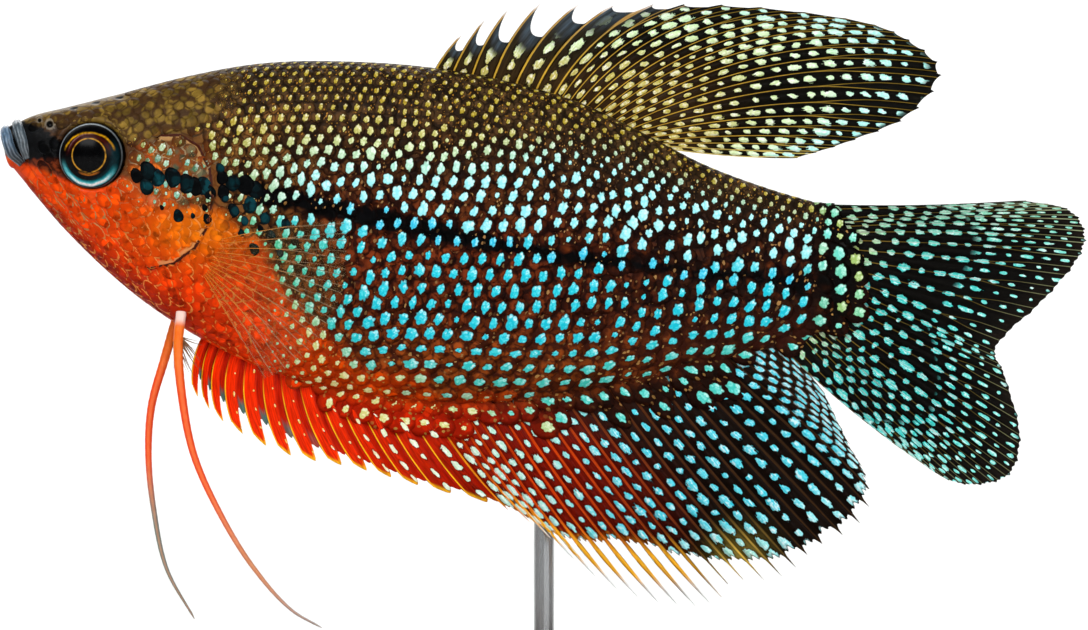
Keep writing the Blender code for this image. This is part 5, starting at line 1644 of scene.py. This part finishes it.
def eye(name, side):
    """A ball stretched to (radius, depth, radius), its axis turned a little forward, with rings round it."""
    tilts = np.linspace(FIRST_RING, math.pi - FIRST_RING, EYE_RINGS)
    tilt, turn = np.meshgrid(tilts, np.linspace(0, 2 * math.pi, EYE_TURNS, endpoint=False), indexing="ij")
    across, up = EYE_BALL * np.sin(tilt) * np.cos(turn), EYE_BALL * np.sin(tilt) * np.sin(turn)
    out = EYE_DEPTH * np.cos(tilt)
    a = EYE_AT[0] + across * math.cos(EYE_TURN) - out * math.sin(EYE_TURN)
    outwards = out * math.cos(EYE_TURN) + across * math.sin(EYE_TURN)
    y = side * (flank(*EYE_AT) + COAT_DEPTH - EYE_SUNK + outwards)
    points = np.stack([a, y, EYE_AT[1] + up], axis=-1)
    look = np.vstack([iris(across, up).reshape(-1, 3), iris(np.zeros(2), np.zeros(2))])
    made = piece(name, np.vstack([points.reshape(-1, 3), points[0].mean(axis=0), points[-1].mean(axis=0)]),
                 tube_faces(EYE_RINGS, EYE_TURNS), eye_cover, {"Iris": with_alpha(look, 1)})
    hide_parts(name.replace("eye_dome", "eye"))


# A wet, clear cornea over a fibrous iris: the coat is smooth and the bumps lie below it, so that a glint
# stays whole. It is a soft glint, because a sharp one would hide the bands.
eye_cover, add = new_material("wet_eye_under_clear_cornea")
iris_colour = add("Attribute", attribute_name="Iris", out="Color")
fibres = add("TexNoise", add("TexCoord", out="Object"), 1 / (0.25 * MM), 3.0)
look = add("Mix", add("Math.MULTIPLY_ADD", fibres, 0.9, -0.2, use_clamp=True),
           iris_colour, rgba("#000000"), data_type="RGBA")
add("OutputMaterial", add("BsdfPrincipled", named={
    "Base Color": look, "Roughness": 0.3, "IOR": 1.38, "Specular IOR Level": 0.02, "Coat Weight": 0.2,
    "Coat Roughness": 0.22, "Coat IOR": 1.35,
    "Normal": add("Bump", 0.6, 0.02 * MM, named={"Height": fibres}),
    "Coat Normal": add("NewGeometry", out="Normal")}))

for word, side in SIDES.items():
    eye(f"eye_dome_{word}", side)

# %% [markdown]
# ## Lips and feelers
#
# Both are tubes carried along a path: a ring of points at each step of the path, in the plane across it. A
# curve with a round bevel would give a plain tube; worked out as points, its radius can change round it too.
# The lips arch over the snout from one corner of the mouth to the other, with folds that run along them. The
# feelers are the pelvic fins, drawn out to one long jointed ray each, with short rays as a tuft at the root.

# %% Swept tubes
TUBE_POINTS = 14


def swept(path, radius, beside, around=TUBE_POINTS):
    """Rings r (cos t, sin t) across the path; beside is a direction that is never along the path."""
    run = np.gradient(path, axis=0)
    run /= np.linalg.norm(run, axis=1, keepdims=True)
    one = np.cross(run, beside)
    one /= np.linalg.norm(one, axis=1, keepdims=True)
    two = np.cross(run, one)
    turn = np.linspace(0, 2 * math.pi, around, endpoint=False)
    radius = np.broadcast_to(np.asarray(radius).reshape(len(path), -1), (len(path), around))[..., None]
    out = np.cos(turn)[None, :, None] * one[:, None] + np.sin(turn)[None, :, None] * two[:, None]
    rings = path[:, None] + radius * out
    return np.vstack([rings.reshape(-1, 3), path[:1], path[-1:]]), tube_faces(len(path), around)


def joined(parts):
    """Several meshes as one: their points in a row, and their faces counted on."""
    shift = np.cumsum([0] + [len(points) for points, _ in parts[:-1]])
    quads = [groups[0] + n for n, (_, groups) in zip(shift, parts)]
    threes = [group + n for n, (_, groups) in zip(shift, parts) for group in groups[1:]]
    return np.vstack([points for points, _ in parts]), [np.vstack(quads), np.vstack(threes)]


def along_path(table, steps):
    """Points at even shares of the smooth curve through a table of (a, y, h), and the shares."""
    table = np.asarray(table, float)
    run = np.concatenate([[0], np.cumsum(np.linalg.norm(np.diff(table, axis=0), axis=1))])
    share = np.linspace(0, 1, steps)
    return np.stack([through(run, column, share * run[-1]) for column in table.T], axis=1), share

# %% Lips
UPPER_LIP = [(2.8, 46.9, 1.75), (2.3, 48.6, 1.65), (1.9, 49.8, 1.1), (1.75, 50.3, 0.0)]
LOWER_LIP = [(2.3, 46.4, 1.75), (1.2, 47.6, 1.5), (0.72, 49.0, 1.0), (0.62, 49.7, 0.0)]
LIP_RADIUS = 0.56
LIP_FOLDS = 9
LIP_STEPS, LIP_POINTS = 160, 72

# Soft folded skin under slime: dark with painted shade in the folds, with a clear coat that glints on the
# crests.
lip_cover, add = new_material("wrinkled_wet_lip_skin")
where = add("TexCoord", out="Object")
own = add("Attribute", attribute_name="Ground", out="Color")
fold = add("TexNoise", where, 1 / (0.35 * MM), 3.0)
# Where the fold noise is high the skin turns near-black: painted shade in the folds.
look = add("Mix", add("Math.MULTIPLY_ADD", fold, 1.4, -0.45, use_clamp=True),
           own, rgba("#0C1014"), data_type="RGBA")
add("OutputMaterial", add("BsdfPrincipled", named={
    "Base Color": look, "Roughness": 0.3, "IOR": 1.38, "Coat Weight": 0.5, "Coat Roughness": 0.08,
    "Coat IOR": 1.33,
    "Normal": add("Bump", 1.0, 0.06 * MM, named={"Height": fold})}))


def lip(name, half, pale, dark):
    """An arch of skin whose radius is waved by folds along it, pale with a painted highlight on the crests
    and dark with painted shade in between.
    """
    right = [(a, y, h) for a, h, y in half]
    arch = [(a, -y, h) for a, y, h in right] + right[-2::-1]
    path, share = along_path(arch, LIP_STEPS)
    corner = 0.72 + 0.28 * smooth(0, 0.2, np.minimum(share, 1 - share))
    turn = np.linspace(0, 2 * math.pi, LIP_POINTS, endpoint=False)
    wander = 1.1 * np.sin(17 * share[:, None]) + 0.5 * np.sin(43 * share[:, None] + 2)
    deep = 0.7 + 0.3 * np.cos(19 * share[:, None] + 3 * turn[None])
    wave = np.cos(LIP_FOLDS * turn[None] + wander) * deep
    radius = LIP_RADIUS * corner[:, None] * (1 + 0.07 * wave)
    points, faces = swept(path, radius, (1.0, 0.0, 0.0), LIP_POINTS)
    level = smooth(46.5, 50.2, points[:, 2])
    fold_painted_light = np.concatenate([wave.ravel(), [0, 0]])
    look = blended(
        dark,
        (pale, level),
        # Pale on the crests is a painted highlight, dark in the troughs is painted shade.
        ("#B4BCC2", np.clip(fold_painted_light, 0, 1) * 0.3),
        ("#14181C", np.clip(-fold_painted_light, 0, 1) * 0.75))
    return piece(name, points, faces, lip_cover, {"Ground": with_alpha(look, 1)})


lip("upper_lip", UPPER_LIP, "#5A6872", "#454A50")
lip("lower_lip", LOWER_LIP, "#6A8AA8", "#0C0E12")

# %% Feelers
FEELERS = {
    "left": [(18.2, -2.9, 31.6), (17.9, -3.6, 28.4), (18.3, -4.6, 23.3), (19.5, -5.4, 17.4),
             (22.2, -6.0, 11.4), (25.5, -6.3, 6.1), (29.3, -6.5, 1.9), (32.3, -6.6, 0.15)],
    "right": [(17.8, 2.9, 31.6), (16.4, 3.8, 27.0), (15.0, 4.9, 22.0), (14.7, 5.8, 17.0), (15.2, 6.4, 11.8),
              (16.5, 6.8, 5.8), (19.3, 7.0, 0.75)],
}
FEELER_RADIUS = np.array([0.52, 0.42, 0.32, 0.24, 0.1])
FEELER_STEPS, TUFT_ROOT = 240, 16
TUFT_RAYS, TUFT_LENGTH, TUFT_RADIUS = 8, 4.9, 0.09
TUFT_STEPS, TUFT_POINTS = 14, 8
TUFT_FROM, TUFT_TURN = math.radians(-84), math.radians(7.5)
TUFT_MARK = 2.0

# Thin skin over cartilage: light passes a little way into it, which softens the shade along the thread.
feeler_cover, add = new_material("smooth_jointed_feeler_skin")
where = add("TexCoord", out="Object")
own = add("Attribute", attribute_name="Ground", out="Color")
grain = add("TexNoise", where, 1 / (0.6 * MM), 3.0)
look = add("Mix", add("Math.MULTIPLY_ADD", grain, 0.8, -0.2, use_clamp=True),
           own, add("Gamma", own, 1.6), data_type="RGBA")
add("OutputMaterial", add("BsdfPrincipled", named={
    **WET, "Base Color": look, "Roughness": 0.35, "IOR": 1.38, "Subsurface Weight": 0.1,
    "Subsurface Scale": 0.4 * MM, "Specular IOR Level": 0.15, "Coat Weight": 0.15,
    "Normal": add("Bump", 1.0, 0.03 * MM, named={"Height": grain})}))


def feeler(word, table):
    """The long ray with faint joints and a pale streak painted as a highlight along it, and the tuft of short
    rays at the back of its root.

    Along the ray the colour goes by the share of its length; the tuft is marked by a value beyond that.
    """
    path, share = along_path(table, FEELER_STEPS)
    radius = np.interp(share, np.linspace(0, 1, 5), FEELER_RADIUS) * (1 + 0.015 * np.sin(share * 260))
    radius = radius * np.sqrt(np.clip((1 - share) / 0.02, 0.02, 1))
    parts = [swept(path, radius, (0.0, 1.0, 0.0))]
    looks = [np.repeat(share, TUBE_POINTS), [0.0, 1.0]]
    turn = np.linspace(0, 2 * math.pi, TUBE_POINTS, endpoint=False)
    streak = np.tile(np.abs(np.sin(turn)) ** 8, len(share))
    root = path[TUFT_ROOT]
    for i in range(TUFT_RAYS):
        turn = TUFT_FROM + TUFT_TURN * i
        out = np.linspace(0, 1, TUFT_STEPS)
        length = TUFT_LENGTH * (1 - 0.05 * i) * chance.uniform(0.8, 1.0)
        bend = 0.25 * out**2 * chance.uniform(-1, 1)
        ray = root + length * np.stack([math.cos(turn) * out - bend * math.sin(turn), 0.04 * (i - 3.5) * out,
                                        math.sin(turn) * out + bend * math.cos(turn)], axis=1)
        parts.append(swept(ray, TUFT_RADIUS * (1.05 - out), (0.0, 1.0, 0.0), TUFT_POINTS))
        looks.append(np.full(TUFT_STEPS * TUFT_POINTS + 2, TUFT_MARK))
    points, faces = joined(parts)
    at = np.concatenate(looks)
    look = blended(
        "#EA7420",
        ("#E8480E", smooth(0.08, 0.25, at)),
        ("#C88868", smooth(0.45, 0.75, at)),
        ("#A4AEB2", smooth(0.75, 1.0, at)))
    if word == "left":
        look = blended(look, ("#F0CFC4", smooth(0.045, 0.02, at)))
    else:
        look = blended(look, ("#74807C", smooth(0.45, 0.7, at)))
    look = blended(look, ("#7A5A40", at == TUFT_MARK))
    # The pale streak down the middle of each side is a painted highlight.
    look[:len(streak)] = blended(
        look[:len(streak)],
        ("#F4A468", 0.4 * streak * smooth(0.05, 0.2, at[:len(streak)])))
    made = piece(f"feeler_{word}", points, faces, feeler_cover, {"Ground": with_alpha(look, 1)})
    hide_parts(*(f"feeler_{word}_{i}" for i in (1, 2, 3)))


for word, table in FEELERS.items():
    feeler(word, table)

# %% [markdown]
# ## The stand
#
# The plate and the rod stay as the solids have them and only get their finishes. Oiled walnut is smooth and
# soft in gloss, with growth rings and dark pores drawn out along the plate. The steel rod was brushed
# lengthwise, so its fine scratches spread the light across it. Both patterns are noises stretched by a
# Mapping node.

# %% Stand finishes
def per_mm(*sizes):
    """How often a pattern repeats in a metre along X, Y and Z, from its sizes in mm."""
    return [1 / (size * MM) for size in sizes]


walnut, add = new_material("oiled_walnut")
where = add("TexCoord", out="Object")
ring_grid = add("Mapping", where, named={"Scale": per_mm(16, 1.6, 1.6)})
rings = add("TexNoise", named={"Vector": ring_grid, "Scale": 1.0, "Detail": 4.0, "Distortion": 0.6})
pore_grid = add("Mapping", where, named={"Scale": per_mm(3, 0.25, 0.25)})
pores = add("TexNoise", pore_grid, 1.0, 2.0)
look = add("Mix", add("MapRange", rings, 0.35, 0.65), rgba("#8A5A34"), rgba("#5A3620"), data_type="RGBA")
look = add("Mix", add("MapRange", pores, 0.6, 0.75), look, rgba("#33200F"), data_type="RGBA")
add("OutputMaterial", add("BsdfPrincipled", named={
    "Base Color": look, "Roughness": add("MapRange", pores, 0.3, 0.7, 0.32, 0.5), "IOR": 1.47,
    "Normal": add("Bump", 1.0, 0.05 * MM, named={"Height": add("Math.MULTIPLY", pores, -1.0)})}))

steel, add = new_material("brushed_stainless_steel")
scratch_grid = add("Mapping", add("TexCoord", out="Object"), named={"Scale": per_mm(0.06, 0.06, 4)})
lines = add("TexNoise", scratch_grid, 1.0, 3.0)
add("OutputMaterial", add("BsdfPrincipled", named={
    "Base Color": add("Mix", lines, rgba("#B4B6B8"), rgba("#8E9092"), data_type="RGBA"),
    "Metallic": 1.0, "Roughness": add("MapRange", lines, 0.3, 0.7, 0.2, 0.38),
    "Normal": add("Bump", 1.0, 0.01 * MM, named={"Height": lines})}))

for name, finish in (("stand_base", walnut), ("stand_rod", steel)):
    bpy.data.objects[name].material_slots[0].material = finish
    print(name, "is finished in", finish.name)
